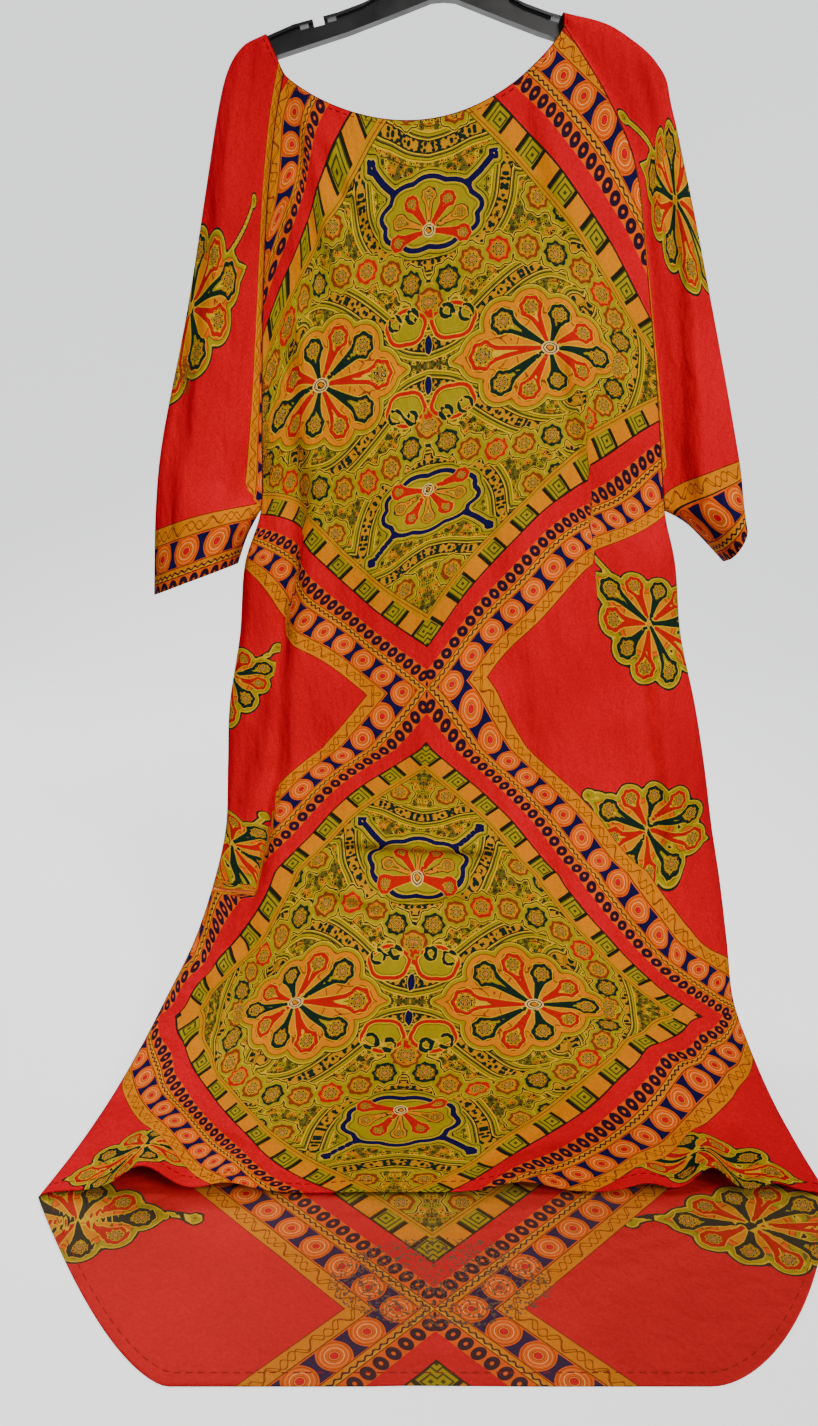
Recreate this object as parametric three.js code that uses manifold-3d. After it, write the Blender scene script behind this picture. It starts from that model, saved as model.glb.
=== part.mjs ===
// A long kaftan dress hanging on a plastic coat hanger, its lower part swept forward over the ground.
//
// Millimetres, +Z up. The origin is where the hook bears on whatever carries it.
// The dress faces -Y, and +X is on the right of somebody who looks at its front.
// Cloth pieces are walls made on a grid: a row runs across a panel, and rows follow each other
// from the neck to the hem. Panels that share a seam share its points and its normals there.
import * as THREE from "three";
import Module from "manifold-3d";

const wasm = await Module();
wasm.setup();

const CLOTH = 1.6; // thickness of a cloth wall
const SEAM_GAP = 0.3; // between two panels along a seam
const GROUND_Z = -1158; // the level that the train of the back panel lies on
const SEAM_RISE = 7; // how far the front panel stands above the side seams near the hem

// The body. Each row is one level of the garment, from the neck to the hem:
// the x and z of the left and right seams, the seams' y and half the distance between the front
// and back seams there, then the y and z of the centre front and of the centre back, and the
// length of cloth from the shoulder to the centre front.
const BODY_COLUMNS = [
  "leftX", "leftZ", "rightX", "rightZ", "seamY", "seamHalf",
  "frontY", "frontZ", "backY", "backZ", "drop",
];
const BODY_ROWS = [
  [-162, -154, 121, -111, 0, 14, -23, -200, 15, -192, 105],
  [-172, -205, 168, -180, -1, 16, -29, -250, 16, -246, 152],
  [-181, -275, 198, -245, -2, 17, -35, -310, 17, -308, 207],
  [-187, -352, 212, -330, -3, 17, -39, -378, 17, -378, 270],
  [-191, -430, 224, -415, -4, 15, -42, -446, 17, -446, 334],
  [-194, -510, 236, -505, -5, 10, -44, -516, 17, -516, 404],
  [-198, -588, 247, -590, -6, 1.3, -46, -590, 17, -590, 478],
  [-218, -650, 262, -650, -6, 0, -47, -652, 17, -650, 540],
  [-226, -728, 272, -728, -6, 0, -48, -730, 17, -728, 618],
  [-240, -808, 292, -808, -8, 0, -50, -810, 17, -806, 698],
  [-244, -880, 306, -880, -12, 0, -58, -884, 10, -882, 773],
  [-246, -948, 314, -948, -28, 0, -78, -952, -10, -950, 845],
  [-256, -1002, 318, -1002, -58, 0, -112, -1008, -44, -1012, 912],
  [-272, -1055, 316, -1055, -104, 0, -164, -1062, -98, -1080, 1000],
  [-292, -1094, 308, -1094, -162, 0, -216, -1096, -182, -1130, 1070],
  [-305, -1117, 309, -1117, -216, 0, -268, -1119, -262, -1152, 1125],
  [-319, -1135, 311, -1135, -284, 0, -326, -1135, -352, -1158, 1195],
  [-334, -1147, 316, -1147, -348, 0, -370, -1146, -470, -1158, 1258],
  [-349, -1153, 321, -1153, -408, 0, -402, -1152, -598, -1158, 1314],
];
const UNDERARM_ROW = 6;
const HEM_ROW = BODY_ROWS.length - 1;
// Over these rows the flat yoke becomes the round skirt, and the skirt becomes the train.
const ROUNDING_ROWS = [UNDERARM_ROW - 0.4, UNDERARM_ROW + 1];
const TRAIN_ROWS = [HEM_ROW - 4, HEM_ROW];
// How the depth falls off from a row's middle to the seams: the larger, the squarer.
const ROUND_POWER = 2.6;
const FLAT_POWER = 3;
const TRAIN_POWER = 6;
// The train's hem is straight in its middle, and slants to the seams beyond this part of it.
const HEM_CORNER_FROM = 0.55;
const HEM_CORNER_POWER = [1.55, 0.25];
// The neckline's scoop, and how much deeper it hangs on its right.
const SCOOP_POWER = 0.85;
const SCOOP_LEAN = 0.12;

// The sleeves. Rows 0 to 6 start and end on the raglan seams, and the last rows are the tube
// below the underarm, whose two edges meet at its inner side. outerX and outerZ are the point of
// the row furthest from the body, half is half the row's depth and midY its middle in y.
const SLEEVE_COLUMNS = ["outerX", "outerZ", "midY", "half"];
const LEFT_SLEEVE_ROWS = [
  [-180, -115, 0, 14],
  [-203, -125.6, -1, 17],
  [-219, -148, -3, 22],
  [-231, -190, -6, 27],
  [-248, -276, -9, 32],
  [-270, -384, -11, 36],
  [-301, -512, -13, 38],
  [-312, -590, -14, 38],
  [-318, -682, -14, 38],
];
const RIGHT_SLEEVE_ROWS = [
  [120, -96.4, 0, 14],
  [171, -108.6, -1, 17],
  [220, -146, -3, 22],
  [234, -188, -6, 27],
  [259, -276, -9, 32],
  [290, -398, -11, 36],
  [321, -528, -13, 38],
  [328, -572, -14, 36],
  [333, -606, -14, 34],
];
const SLEEVE_END_ROW = LEFT_SLEEVE_ROWS.length - 1;
const SHOULDER_ROWS = [1.8, 4]; // over these the sleeve stops following the hanger's square top
const HANGER_SQUARENESS = 5;
// The x and z of the tubes' inner sides on rows 6 to 8.
const LEFT_TUBE_INNER = [[-198, -588], [-214, -616], [-226, -648]];
const RIGHT_TUBE_INNER = [[247, -590], [275, -606], [316, -646]];
const SLEEVES = {
  left: { rows: LEFT_SLEEVE_ROWS, tube: LEFT_TUBE_INNER, seam: ["leftX", "leftZ"] },
  right: { rows: RIGHT_SLEEVE_ROWS, tube: RIGHT_TUBE_INNER, seam: ["rightX", "rightZ"] },
};

// Folds of the front panel. A fold follows a line from one place to another, each given by its x
// and its length of cloth from the shoulder. ridge is how far the cloth stands out on the right of
// the line or below it, valley how far it is drawn in on the other side, and width how wide each is.
const FOLD_COLUMNS = ["fromX", "fromDrop", "toX", "toDrop", "ridge", "valley", "width"];
const FRONT_FOLDS = [
  [-146, 440, -156, 560, 7, 12, 17],
  [-156, 560, -222, 805, 8, 10, 17],
  [150, 360, 158, 466, -2, 3, 14],
  [158, 466, 203, 790, -3, 4, 15],
  [-105, 880, 60, 884, -6, -8, 20],
  [-240, 1130, -95, 1290, 9, 6, 24],
  [214, 1010, 262, 1230, 8, 8, 22],
];
// Waves of the front hem: where the cloth lifts off the ground, how wide and how high.
const HEM_WAVE_COLUMNS = ["x", "width", "lift"];
const HEM_WAVES = [
  [-262, 26, 26],
  [-190, 24, 9],
  [62, 30, 10],
  [168, 20, 8],
  [222, 18, 24],
  [278, 16, 10],
];
const HEM_WAVE_REACH = 150; // how far up the cloth the waves fade out

// Grid sizes, in cells.
const BODY_ACROSS = 34;
const YOKE_DOWN = 12;
const SKIRT_DOWN = 26;
const SLEEVE_ACROSS = 22;
const TUBE_DOWN = 4;
const EDGE_CROWDING = 0.25; // how much narrower cells are near a panel's side seams

// One row of a table as an object with its columns' names.
function named(columns, row) {
  return Object.fromEntries(columns.map((name, i) => [name, row[i]]));
}

// The value of a column between the rows of a table, on a Catmull-Rom curve.
function column(rows, index, at) {
  const last = rows.length - 1;
  const i = Math.min(Math.floor(at), last - 1);
  const f = at - i;
  const value = (k) => rows[Math.max(0, Math.min(last, k))][index];
  const [a, b, c, d] = [value(i - 1), value(i), value(i + 1), value(i + 2)];
  const bend = 2 * a - 5 * b + 4 * c - d + (3 * b - a - 3 * c + d) * f;
  return b + 0.5 * f * (c - a + bend * f);
}

function level(columns, rows, at) {
  return Object.fromEntries(columns.map((name, i) => [name, column(rows, i, at)]));
}

function smooth(from, to, x) {
  const t = Math.min(1, Math.max(0, (x - from) / (to - from)));
  return t * t * (3 - 2 * t);
}

// How far the folds and hem waves move a point of the front panel: outwards, and up.
function folding(x, drop) {
  let out = 0;
  for (const row of FRONT_FOLDS) {
    const fold = named(FOLD_COLUMNS, row);
    const along = new THREE.Vector2(fold.toX - fold.fromX, fold.toDrop - fold.fromDrop);
    const length = along.length();
    const unit = along.clone().divideScalar(length);
    const from = new THREE.Vector2(x - fold.fromX, drop - fold.fromDrop);
    const reach = from.dot(unit);
    const side = from.x * unit.y - from.y * unit.x;
    const fade = smooth(-40, 25, reach) * (1 - smooth(length - 25, length + 40, reach));
    const bump = (middle) => Math.exp(-(((side - middle) / fold.width) ** 2));
    out += fade * (fold.ridge * bump(fold.width * 0.6) - fold.valley * bump(-fold.width * 0.6));
  }
  const hemDrop = BODY_ROWS[HEM_ROW][BODY_COLUMNS.indexOf("drop")];
  const near = smooth(hemDrop - HEM_WAVE_REACH, hemDrop, drop);
  let lift = 0;
  for (const row of HEM_WAVES) {
    const wave = named(HEM_WAVE_COLUMNS, row);
    lift += near * wave.lift * Math.exp(-(((x - wave.x) / wave.width) ** 2));
  }
  return { out, lift };
}

// A point of the front or back panel. across runs from -1 at the left seam to 1 at the right one,
// and at is the row. Across a row the depth follows a curve that is fuller below the underarm.
function bodyPoint(isFront, across, at) {
  const row = level(BODY_COLUMNS, BODY_ROWS, at);
  const skirt = smooth(...ROUNDING_ROWS, at);
  const low = smooth(...TRAIN_ROWS, at);
  const side = Math.abs(across);
  const round = Math.sqrt(1 - side ** ROUND_POWER);
  const flat = 1 - side ** FLAT_POWER;
  const slant = Math.max(0, (side - HEM_CORNER_FROM) / (1 - HEM_CORNER_FROM));
  const corner = 1 - slant ** (HEM_CORNER_POWER[0] + HEM_CORNER_POWER[1] * across);
  const middleY = isFront ? row.frontY : row.backY;
  const middleZ = isFront ? row.frontZ : row.backZ;
  const seamHalf = at > UNDERARM_ROW ? 0 : row.seamHalf;
  const seamY = row.seamY + (isFront ? -seamHalf : seamHalf);
  let depth = skirt * round + (1 - skirt) * flat;
  if (!isFront) depth = depth * (1 - low) + corner * low;
  const x = row.leftX + ((row.rightX - row.leftX) * (across + 1)) / 2;
  const seamZ = row.leftZ + ((row.rightZ - row.leftZ) * (across + 1)) / 2;
  const meanZ = (row.leftZ + row.rightZ) / 2;
  const scoop = (1 - side * side) ** SCOOP_POWER * (1 + SCOOP_LEAN * across);
  const skirtDip = isFront ? round : Math.sqrt(1 - side ** TRAIN_POWER);
  const dip = at <= UNDERARM_ROW ? scoop : skirtDip;
  const point = new THREE.Vector3(
    x,
    seamY + (middleY - seamY) * depth,
    seamZ + (middleZ - meanZ) * dip,
  );
  if (isFront) {
    const clear = 1 - side ** 8;
    const upwards = 0.7 * low;
    const { out, lift } = folding(x, row.drop);
    point.y -= out * clear * (1 - upwards);
    point.z += (lift + out * upwards) * clear;
    point.z += SEAM_RISE * low * side ** 3 * Math.sqrt(1 - side ** 12);
  }
  point.z = Math.max(point.z, GROUND_Z + CLOTH / 2);
  return point;
}

// A point of a sleeve. around runs from 0 at the front seam, over the outer side at 0.5, to 1 at
// the back seam. Down to the underarm the row is an arch, and below it a closed loop.
function sleevePoint(sleeve, around, at) {
  const row = level(SLEEVE_COLUMNS, sleeve.rows, at);
  const body = level(BODY_COLUMNS, BODY_ROWS, Math.min(at, UNDERARM_ROW));
  const [innerX, innerZ] = at <= UNDERARM_ROW
    ? sleeve.seam.map((name) => body[name])
    : [0, 1].map((axis) => column(sleeve.tube, axis, at - UNDERARM_ROW));
  const closed = smooth(...ROUNDING_ROWS, at);
  const top = 1 - smooth(...SHOULDER_ROWS, at);
  const turn = around * Math.PI;
  const out = Math.sin(turn) ** (1 - 0.35 * closed);
  const boxy = 2 + HANGER_SQUARENESS * top;
  const arch = Math.sqrt(Math.max(0, 1 - out ** boxy));
  const loop = 2 * Math.sqrt(Math.max(0, out * (1 - out)));
  const sign = around < 0.5 ? -1 : 1;
  const seamHalf = at > UNDERARM_ROW ? 0 : body.seamHalf;
  const swell = row.half * ((1 - closed) * arch * (1 - (1 - out) ** 3) + closed * loop);
  const fromSeam = (1 - out) ** 2;
  const depth = seamHalf * fromSeam + swell * (1 - fromSeam * (1 - closed));
  const midY = body.seamY * fromSeam + row.midY * (1 - fromSeam);
  return new THREE.Vector3(
    innerX + (row.outerX - innerX) * out,
    midY + sign * depth,
    innerZ + (row.outerZ - innerZ) * out,
  );
}

// The place across a panel of a grid line, from -1 to 1.
function spacedAcross(i) {
  const even = (2 * i) / BODY_ACROSS - 1;
  return even * (1 + EDGE_CROWDING * (1 - even * even));
}

function bodyGrid(isFront) {
  const grid = [];
  for (let j = 0; j <= YOKE_DOWN + SKIRT_DOWN; j++) {
    const at = j <= YOKE_DOWN
      ? (UNDERARM_ROW * j) / YOKE_DOWN
      : UNDERARM_ROW + ((HEM_ROW - UNDERARM_ROW) * (j - YOKE_DOWN)) / SKIRT_DOWN;
    const line = [];
    for (let i = 0; i <= BODY_ACROSS; i++) line.push(bodyPoint(isFront, spacedAcross(i), at));
    grid.push(line);
  }
  return grid;
}

function sleeveGrid(sleeve) {
  const grid = [];
  for (let j = 0; j <= YOKE_DOWN + TUBE_DOWN; j++) {
    const at = j <= YOKE_DOWN
      ? (UNDERARM_ROW * j) / YOKE_DOWN
      : UNDERARM_ROW + ((SLEEVE_END_ROW - UNDERARM_ROW) * (j - YOKE_DOWN)) / TUBE_DOWN;
    const line = [];
    for (let i = 0; i <= SLEEVE_ACROSS; i++) line.push(sleevePoint(sleeve, i / SLEEVE_ACROSS, at));
    grid.push(line);
  }
  return grid;
}

// The normals of a grid, from its neighbours, times sign so that they point out of the garment.
function gridNormals(grid, sign) {
  const rows = grid.length;
  const cols = grid[0].length;
  return grid.map((line, j) =>
    line.map((_, i) => {
      const across = grid[j][Math.min(i + 1, cols - 1)].clone().sub(grid[j][Math.max(i - 1, 0)]);
      const down = grid[Math.min(j + 1, rows - 1)][i].clone().sub(grid[Math.max(j - 1, 0)][i]);
      return across.cross(down).multiplyScalar(sign).normalize();
    }),
  );
}

// The y midway between the front and back raglan seams at a grid row.
function seamMiddle(j) {
  return column(BODY_ROWS, BODY_COLUMNS.indexOf("seamY"), (UNDERARM_ROW * j) / YOKE_DOWN);
}

// Panels give one normal to each point that they share on a seam. On the raglan seams it leans
// towards the front or back, since four panels come close to each other at the underarm.
const RAGLAN_LEAN = 1.5;

function shareNormals(panels) {
  const found = new Map();
  const key = (p) => [p.x, p.y, p.z].map((v) => Math.round(v * 10)).join();
  const each = (visit) => {
    for (const panel of panels) {
      panel.grid.forEach((line, j) => {
        for (const i of [0, line.length - 1]) {
          const lean = j > YOKE_DOWN ? 0 : line[i].y < seamMiddle(j) ? -RAGLAN_LEAN : RAGLAN_LEAN;
          visit(key(line[i]), panel.normals[j][i], new THREE.Vector3(0, lean, 0));
        }
      });
    }
  };
  each((k, n) => found.set(k, (found.get(k) ?? new THREE.Vector3()).add(n)));
  each((k, n, outwards) => n.copy(found.get(k)).add(outwards).normalize());
}

// A panel's wall: an outer and an inner sheet half its thickness from the grid, and four rims.
// Its side edges stop half the seam's gap short of the seam, square to the seam and its normal.
function wallGeometry({ grid, normals }) {
  const rows = grid.length;
  const cols = grid[0].length;
  const placed = grid.map((line) => line.map((p) => p.clone()));
  for (let j = 0; j < rows; j++) {
    for (const [edge, inner] of [[0, 1], [cols - 1, cols - 2]]) {
      const inwards = grid[j][inner].clone().sub(grid[j][edge]);
      const along = grid[Math.min(j + 1, rows - 1)][edge].clone().sub(grid[Math.max(j - 1, 0)][edge]);
      const away = along.cross(normals[j][edge]).normalize();
      placed[j][edge].addScaledVector(away, (Math.sign(away.dot(inwards)) * SEAM_GAP) / 2);
    }
  }
  const positions = [];
  for (const half of [CLOTH / 2, -CLOTH / 2]) {
    placed.forEach((line, j) => line.forEach((p, i) => {
      positions.push(...p.clone().addScaledVector(normals[j][i], half).toArray());
    }));
  }
  const outer = (j, i) => j * cols + i;
  const inner = (j, i) => rows * cols + j * cols + i;
  const faces = [];
  const quad = (a, b, c, d) => faces.push(a, b, c, a, c, d);
  for (let j = 0; j + 1 < rows; j++) {
    for (let i = 0; i + 1 < cols; i++) {
      quad(outer(j, i), outer(j + 1, i), outer(j + 1, i + 1), outer(j, i + 1));
      quad(inner(j, i), inner(j, i + 1), inner(j + 1, i + 1), inner(j + 1, i));
    }
    quad(outer(j, 0), inner(j, 0), inner(j + 1, 0), outer(j + 1, 0));
    quad(outer(j + 1, cols - 1), inner(j + 1, cols - 1), inner(j, cols - 1), outer(j, cols - 1));
  }
  for (let i = 0; i + 1 < cols; i++) {
    quad(outer(0, i + 1), inner(0, i + 1), inner(0, i), outer(0, i));
    quad(outer(rows - 1, i), inner(rows - 1, i), inner(rows - 1, i + 1), outer(rows - 1, i + 1));
  }
  const geometry = new THREE.BufferGeometry();
  geometry.setAttribute("position", new THREE.Float32BufferAttribute(positions, 3));
  geometry.setIndex(faces);
  if (signedVolume(geometry) < 0) {
    for (let k = 0; k < faces.length; k += 3) [faces[k], faces[k + 1]] = [faces[k + 1], faces[k]];
    geometry.setIndex(faces);
  }
  return geometry;
}

function signedVolume(geometry) {
  const position = geometry.getAttribute("position");
  const index = geometry.getIndex();
  const corner = (k) => new THREE.Vector3().fromBufferAttribute(position, index.getX(k));
  let volume = 0;
  for (let k = 0; k < index.count; k += 3) {
    volume += corner(k).dot(corner(k + 1).cross(corner(k + 2))) / 6;
  }
  return volume;
}

const redCloth = new THREE.MeshStandardMaterial({ color: "#cf2a1f", roughness: 0.85, metalness: 0 });
const orangeCloth = new THREE.MeshStandardMaterial({ color: "#c58a2a", roughness: 0.85, metalness: 0 });
const blackPlastic = new THREE.MeshStandardMaterial({ color: "#232427", roughness: 0.42, metalness: 0 });
const steel = new THREE.MeshStandardMaterial({ color: "#b9bcc0", roughness: 0.25, metalness: 1 });

const panels = [
  { name: "front_panel", grid: bodyGrid(true), sign: -1, material: orangeCloth },
  { name: "back_panel", grid: bodyGrid(false), sign: 1, material: orangeCloth },
  { name: "sleeve_left", grid: sleeveGrid(SLEEVES.left), sign: 1, material: redCloth },
  { name: "sleeve_right", grid: sleeveGrid(SLEEVES.right), sign: -1, material: redCloth },
];
for (const panel of panels) panel.normals = gridNormals(panel.grid, panel.sign);
shareNormals(panels);

// The hanger's body: its right half's outline, mirrored, with a hollow in each arm's front and
// back that leaves a web, and two strap notches on each arm.
const HANGER_DEPTH = 12;
const HANGER_WEB = 3;
const HANGER_RIM = 2.8;
const HANGER_TOP = [
  [0, -59], [9, -59], [20, -62], [38, -69], [61, -79], [83, -88], [107, -96], [152, -107],
  [180, -118], [192, -127],
];
const HANGER_BOTTOM = [
  [199, -137], [193, -142], [168, -135], [97, -114], [71, -105], [37, -93], [12, -84], [0, -83],
];
const NOTCH_X = 127;
const NOTCH_WIDTH = 11;
const NOTCH_DEPTH = 6;
const WINDOW_OFFSET = 14;
const WINDOW_SIZE = [9, 2.6];
const ARM_X = 61; // where an arm's hollow begins
const [ARM_FROM, ARM_TO] = [HANGER_TOP[6], HANGER_TOP[7]];
const ARM_SLOPE = Math.atan2(ARM_FROM[1] - ARM_TO[1], ARM_TO[0] - ARM_FROM[0]);
const CUT_PAST = 1; // how far a cut runs past a face

function solidFrom(geometry) {
  const bare = new THREE.BufferGeometry();
  bare.setAttribute("position", geometry.getAttribute("position"));
  if (geometry.getIndex()) bare.setIndex(geometry.getIndex());
  return new wasm.Manifold(mergedMesh(bare));
}

// Vertices at one place are made one, so that the faces close.
function mergedMesh(geometry) {
  const position = geometry.getAttribute("position");
  const index = geometry.getIndex();
  const places = new Map();
  const vertices = [];
  const triangles = [];
  const count = index ? index.count : position.count;
  for (let k = 0; k < count; k++) {
    const v = index ? index.getX(k) : k;
    const p = [position.getX(v), position.getY(v), position.getZ(v)];
    const key = p.map((n) => n.toFixed(3)).join();
    if (!places.has(key)) {
      places.set(key, vertices.length / 3);
      vertices.push(...p);
    }
    triangles.push(places.get(key));
  }
  return new wasm.Mesh({
    numProp: 3,
    vertProperties: new Float32Array(vertices),
    triVerts: new Uint32Array(triangles),
  });
}

function geometryFrom(solid) {
  const mesh = solid.getMesh();
  const geometry = new THREE.BufferGeometry();
  geometry.setAttribute("position", new THREE.BufferAttribute(mesh.vertProperties, 3));
  geometry.setIndex(new THREE.BufferAttribute(mesh.triVerts, 1));
  return geometry;
}

// A plate with this outline in x and z, depth thick, with its middle at y = middle.
function plate(outline, depth, middle = 0) {
  const shape = new THREE.Shape(outline.map(([x, z]) => new THREE.Vector2(x, z)));
  const geometry = new THREE.ExtrudeGeometry(shape, { depth, bevelEnabled: false });
  geometry.rotateX(Math.PI / 2);
  geometry.translate(0, middle + depth / 2, 0);
  return solidFrom(geometry);
}

// An outline's points moved inwards by a distance, square to the line through their neighbours.
function inset(outline, distance) {
  return outline.map(([x, z], i) => {
    const before = outline[(i + outline.length - 1) % outline.length];
    const after = outline[(i + 1) % outline.length];
    const along = new THREE.Vector2(after[0] - before[0], after[1] - before[1]).normalize();
    return [x + along.y * distance, z - along.x * distance];
  });
}

function hangerBody() {
  const right = [...HANGER_TOP, ...HANGER_BOTTOM];
  const mirrored = right.slice(1, -1).reverse().map(([x, z]) => [-x, z]);
  let body = plate([...right, ...mirrored], HANGER_DEPTH);
  const arm = right.filter(([x]) => x >= ARM_X);
  const pocket = inset(arm, HANGER_RIM);
  const pocketDepth = (HANGER_DEPTH - HANGER_WEB) / 2 + CUT_PAST;
  const faceY = HANGER_WEB / 2 + pocketDepth / 2;
  for (const mirror of [1, -1]) {
    const outline = pocket.map(([x, z]) => [mirror * x, z]);
    for (const y of [faceY, -faceY]) body = body.subtract(plate(outline, pocketDepth, y));
    for (const cut of notchCuts()) {
      body = body.subtract(plate(cut.map(([x, z]) => [mirror * x, z]), HANGER_DEPTH + 2 * CUT_PAST));
    }
  }
  return geometryFrom(body);
}

// The strap notch in an arm's upper edge, and a small window in the rim on either side of it.
function notchCuts() {
  const topAt = (x) => ARM_FROM[1] - (x - ARM_FROM[0]) * Math.tan(ARM_SLOPE);
  const box = (x, z, width, height) => {
    const turn = (dx, dz) => [
      x + dx * Math.cos(ARM_SLOPE) + dz * Math.sin(ARM_SLOPE),
      z - dx * Math.sin(ARM_SLOPE) + dz * Math.cos(ARM_SLOPE),
    ];
    const corners = [[-1, -1], [1, -1], [1, 1], [-1, 1]];
    return corners.map(([a, b]) => turn((a * width) / 2, (b * height) / 2));
  };
  const past = 2 * CUT_PAST;
  const notch = box(NOTCH_X, topAt(NOTCH_X) + past - NOTCH_DEPTH / 2, NOTCH_WIDTH, NOTCH_DEPTH + 2 * past);
  const windows = [-1, 1].map((side) => {
    const x = NOTCH_X + side * WINDOW_OFFSET;
    return box(x, topAt(x) - HANGER_RIM - WINDOW_SIZE[1] / 2, ...WINDOW_SIZE);
  });
  return [notch, ...windows];
}

// The hook: a stem that stands in the hanger's neck, and a bow whose inner top is the origin.
const WIRE = 3.6;
const BOW_RADIUS = 22;
const BOW_TURNS = [-62, 205]; // degrees, from the stem's end of the bow to its free end
const BOW_STEP = 15;
const STEM_FOOT_Z = HANGER_TOP[0][1] + SEAM_GAP;
const STEM_STRAIGHT = 9;

function hookGeometry() {
  const middle = new THREE.Vector3(0, 0, WIRE / 2 - BOW_RADIUS);
  const stem = [STEM_FOOT_Z, STEM_FOOT_Z + STEM_STRAIGHT];
  const points = stem.map((z) => new THREE.Vector3(0, 0, z));
  for (let turn = BOW_TURNS[0]; turn <= BOW_TURNS[1]; turn += BOW_STEP) {
    const a = THREE.MathUtils.degToRad(turn);
    points.push(middle.clone().add(
      new THREE.Vector3(Math.cos(a) * BOW_RADIUS, 0, Math.sin(a) * BOW_RADIUS),
    ));
  }
  const path = new THREE.CatmullRomCurve3(points, false, "centripetal");
  const section = new THREE.Shape();
  section.absarc(0, 0, WIRE / 2, 0, Math.PI * 2);
  return new THREE.ExtrudeGeometry(section, { extrudePath: path, steps: 40, curveSegments: 5 });
}

const dress = new THREE.Group();
for (const panel of panels) {
  const mesh = new THREE.Mesh(wallGeometry(panel), panel.material);
  mesh.name = panel.name;
  dress.add(mesh);
}
const hanger = new THREE.Mesh(hangerBody(), blackPlastic);
hanger.name = "hanger_body";
dress.add(hanger);
const hook = new THREE.Mesh(hookGeometry(), steel);
hook.name = "hanger_hook";
dress.add(hook);

export default dress;
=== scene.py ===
"""A long printed kaftan on a coat hanger, its back hem trained forward over a pale floor.

Metres, +Z up, front towards -Y, origin where the hook bears. Print lengths are in millimetres.
"""
import math

import bpy
import numpy as np
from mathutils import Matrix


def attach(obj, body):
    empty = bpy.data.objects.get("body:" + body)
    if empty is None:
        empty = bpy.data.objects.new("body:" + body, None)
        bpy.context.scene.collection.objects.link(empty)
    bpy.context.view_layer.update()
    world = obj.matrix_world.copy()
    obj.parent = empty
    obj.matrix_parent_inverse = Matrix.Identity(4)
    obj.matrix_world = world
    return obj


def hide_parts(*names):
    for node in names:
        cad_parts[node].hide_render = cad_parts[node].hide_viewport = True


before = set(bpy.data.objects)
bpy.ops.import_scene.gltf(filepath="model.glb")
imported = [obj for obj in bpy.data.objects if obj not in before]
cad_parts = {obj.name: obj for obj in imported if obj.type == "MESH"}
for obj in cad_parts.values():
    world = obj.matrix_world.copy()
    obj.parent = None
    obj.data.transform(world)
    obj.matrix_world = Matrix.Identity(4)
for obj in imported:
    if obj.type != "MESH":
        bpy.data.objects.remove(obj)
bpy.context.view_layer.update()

MM = 0.001


def linear(code):
    """An sRGB hex value as linear red, green, blue and an alpha of one."""
    channels = [int(code[i:i + 2], 16) / 255 for i in (1, 3, 5)]
    return [c / 12.92 if c <= 0.04045 else ((c + 0.055) / 1.055) ** 2.4 for c in channels] + [1.0]


# ---- The camera
FRAME_HEIGHT, FOCAL_PIXELS = 1426, 1071
SENSOR = 36
PITCH = 12
camera_data = bpy.data.cameras.new("camera")
camera_data.sensor_fit = "VERTICAL"
camera_data.sensor_height = SENSOR
camera_data.lens = SENSOR * FOCAL_PIXELS / FRAME_HEIGHT
camera = bpy.data.objects.new("camera", camera_data)
camera.location = (-0.035, -1.210, -0.563)
camera.rotation_euler = (math.radians(90 - PITCH), 0, 0)
bpy.context.scene.collection.objects.link(camera)
bpy.context.scene.camera = camera

# ---- The form. Each body row is one level from the neck to the hem.
BODY_COLUMNS = ("left_x", "left_z", "right_x", "right_z", "seam_y", "seam_half",
                "front_y", "front_z", "back_y", "back_z", "drop", "back_length")
BODY_ROWS = np.array([
    [-162, -154, 121, -111, 0, 14, -23, -200, 15, -192, 105, 82],
    [-172, -205, 168, -180, -1, 16, -29, -250, 16, -246, 152, 136],
    [-181, -275, 198, -245, -2, 17, -35, -310, 17, -308, 207, 198],
    [-187, -352, 212, -330, -3, 17, -39, -378, 17, -378, 270, 268],
    [-191, -430, 224, -415, -4, 15, -42, -446, 17, -446, 334, 336],
    [-194, -510, 236, -505, -5, 10, -44, -516, 17, -516, 404, 406],
    [-198, -588, 247, -590, -6, 1.3, -46, -590, 17, -590, 478, 480],
    [-218, -650, 262, -650, -6, 0, -47, -652, 17, -650, 540, 540],
    [-226, -728, 272, -728, -6, 0, -48, -730, 17, -728, 618, 618],
    [-240, -808, 292, -808, -8, 0, -50, -810, 17, -806, 698, 696],
    [-244, -880, 306, -880, -12, 0, -58, -884, 10, -882, 773, 772],
    [-246, -948, 314, -948, -28, 0, -78, -952, -10, -950, 845, 843],
    [-256, -1002, 318, -1002, -58, 0, -112, -1008, -44, -1012, 912, 914],
    [-272, -1055, 316, -1055, -104, 0, -164, -1062, -98, -1080, 1000, 1001],
    [-292, -1094, 308, -1094, -162, 0, -216, -1096, -182, -1130, 1070, 1099],
    [-305, -1117, 309, -1117, -216, 0, -268, -1119, -262, -1152, 1125, 1182],
    [-319, -1135, 311, -1135, -284, 0, -326, -1135, -352, -1158, 1195, 1272],
    [-334, -1147, 316, -1147, -348, 0, -370, -1146, -470, -1158, 1258, 1390],
    [-349, -1153, 321, -1153, -408, 0, -402, -1152, -598, -1158, 1314, 1518],
], float)
BODY = {name: i for i, name in enumerate(BODY_COLUMNS)}
UNDERARM_ROW = 6
HEM_ROW = len(BODY_ROWS) - 1
GROUND_Z = -1158
WALL = 1.6
SEAM_RISE = 7
ROUNDING_ROWS = (UNDERARM_ROW - 0.4, UNDERARM_ROW + 1)
TRAIN_ROWS = (HEM_ROW - 4, HEM_ROW)
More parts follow.
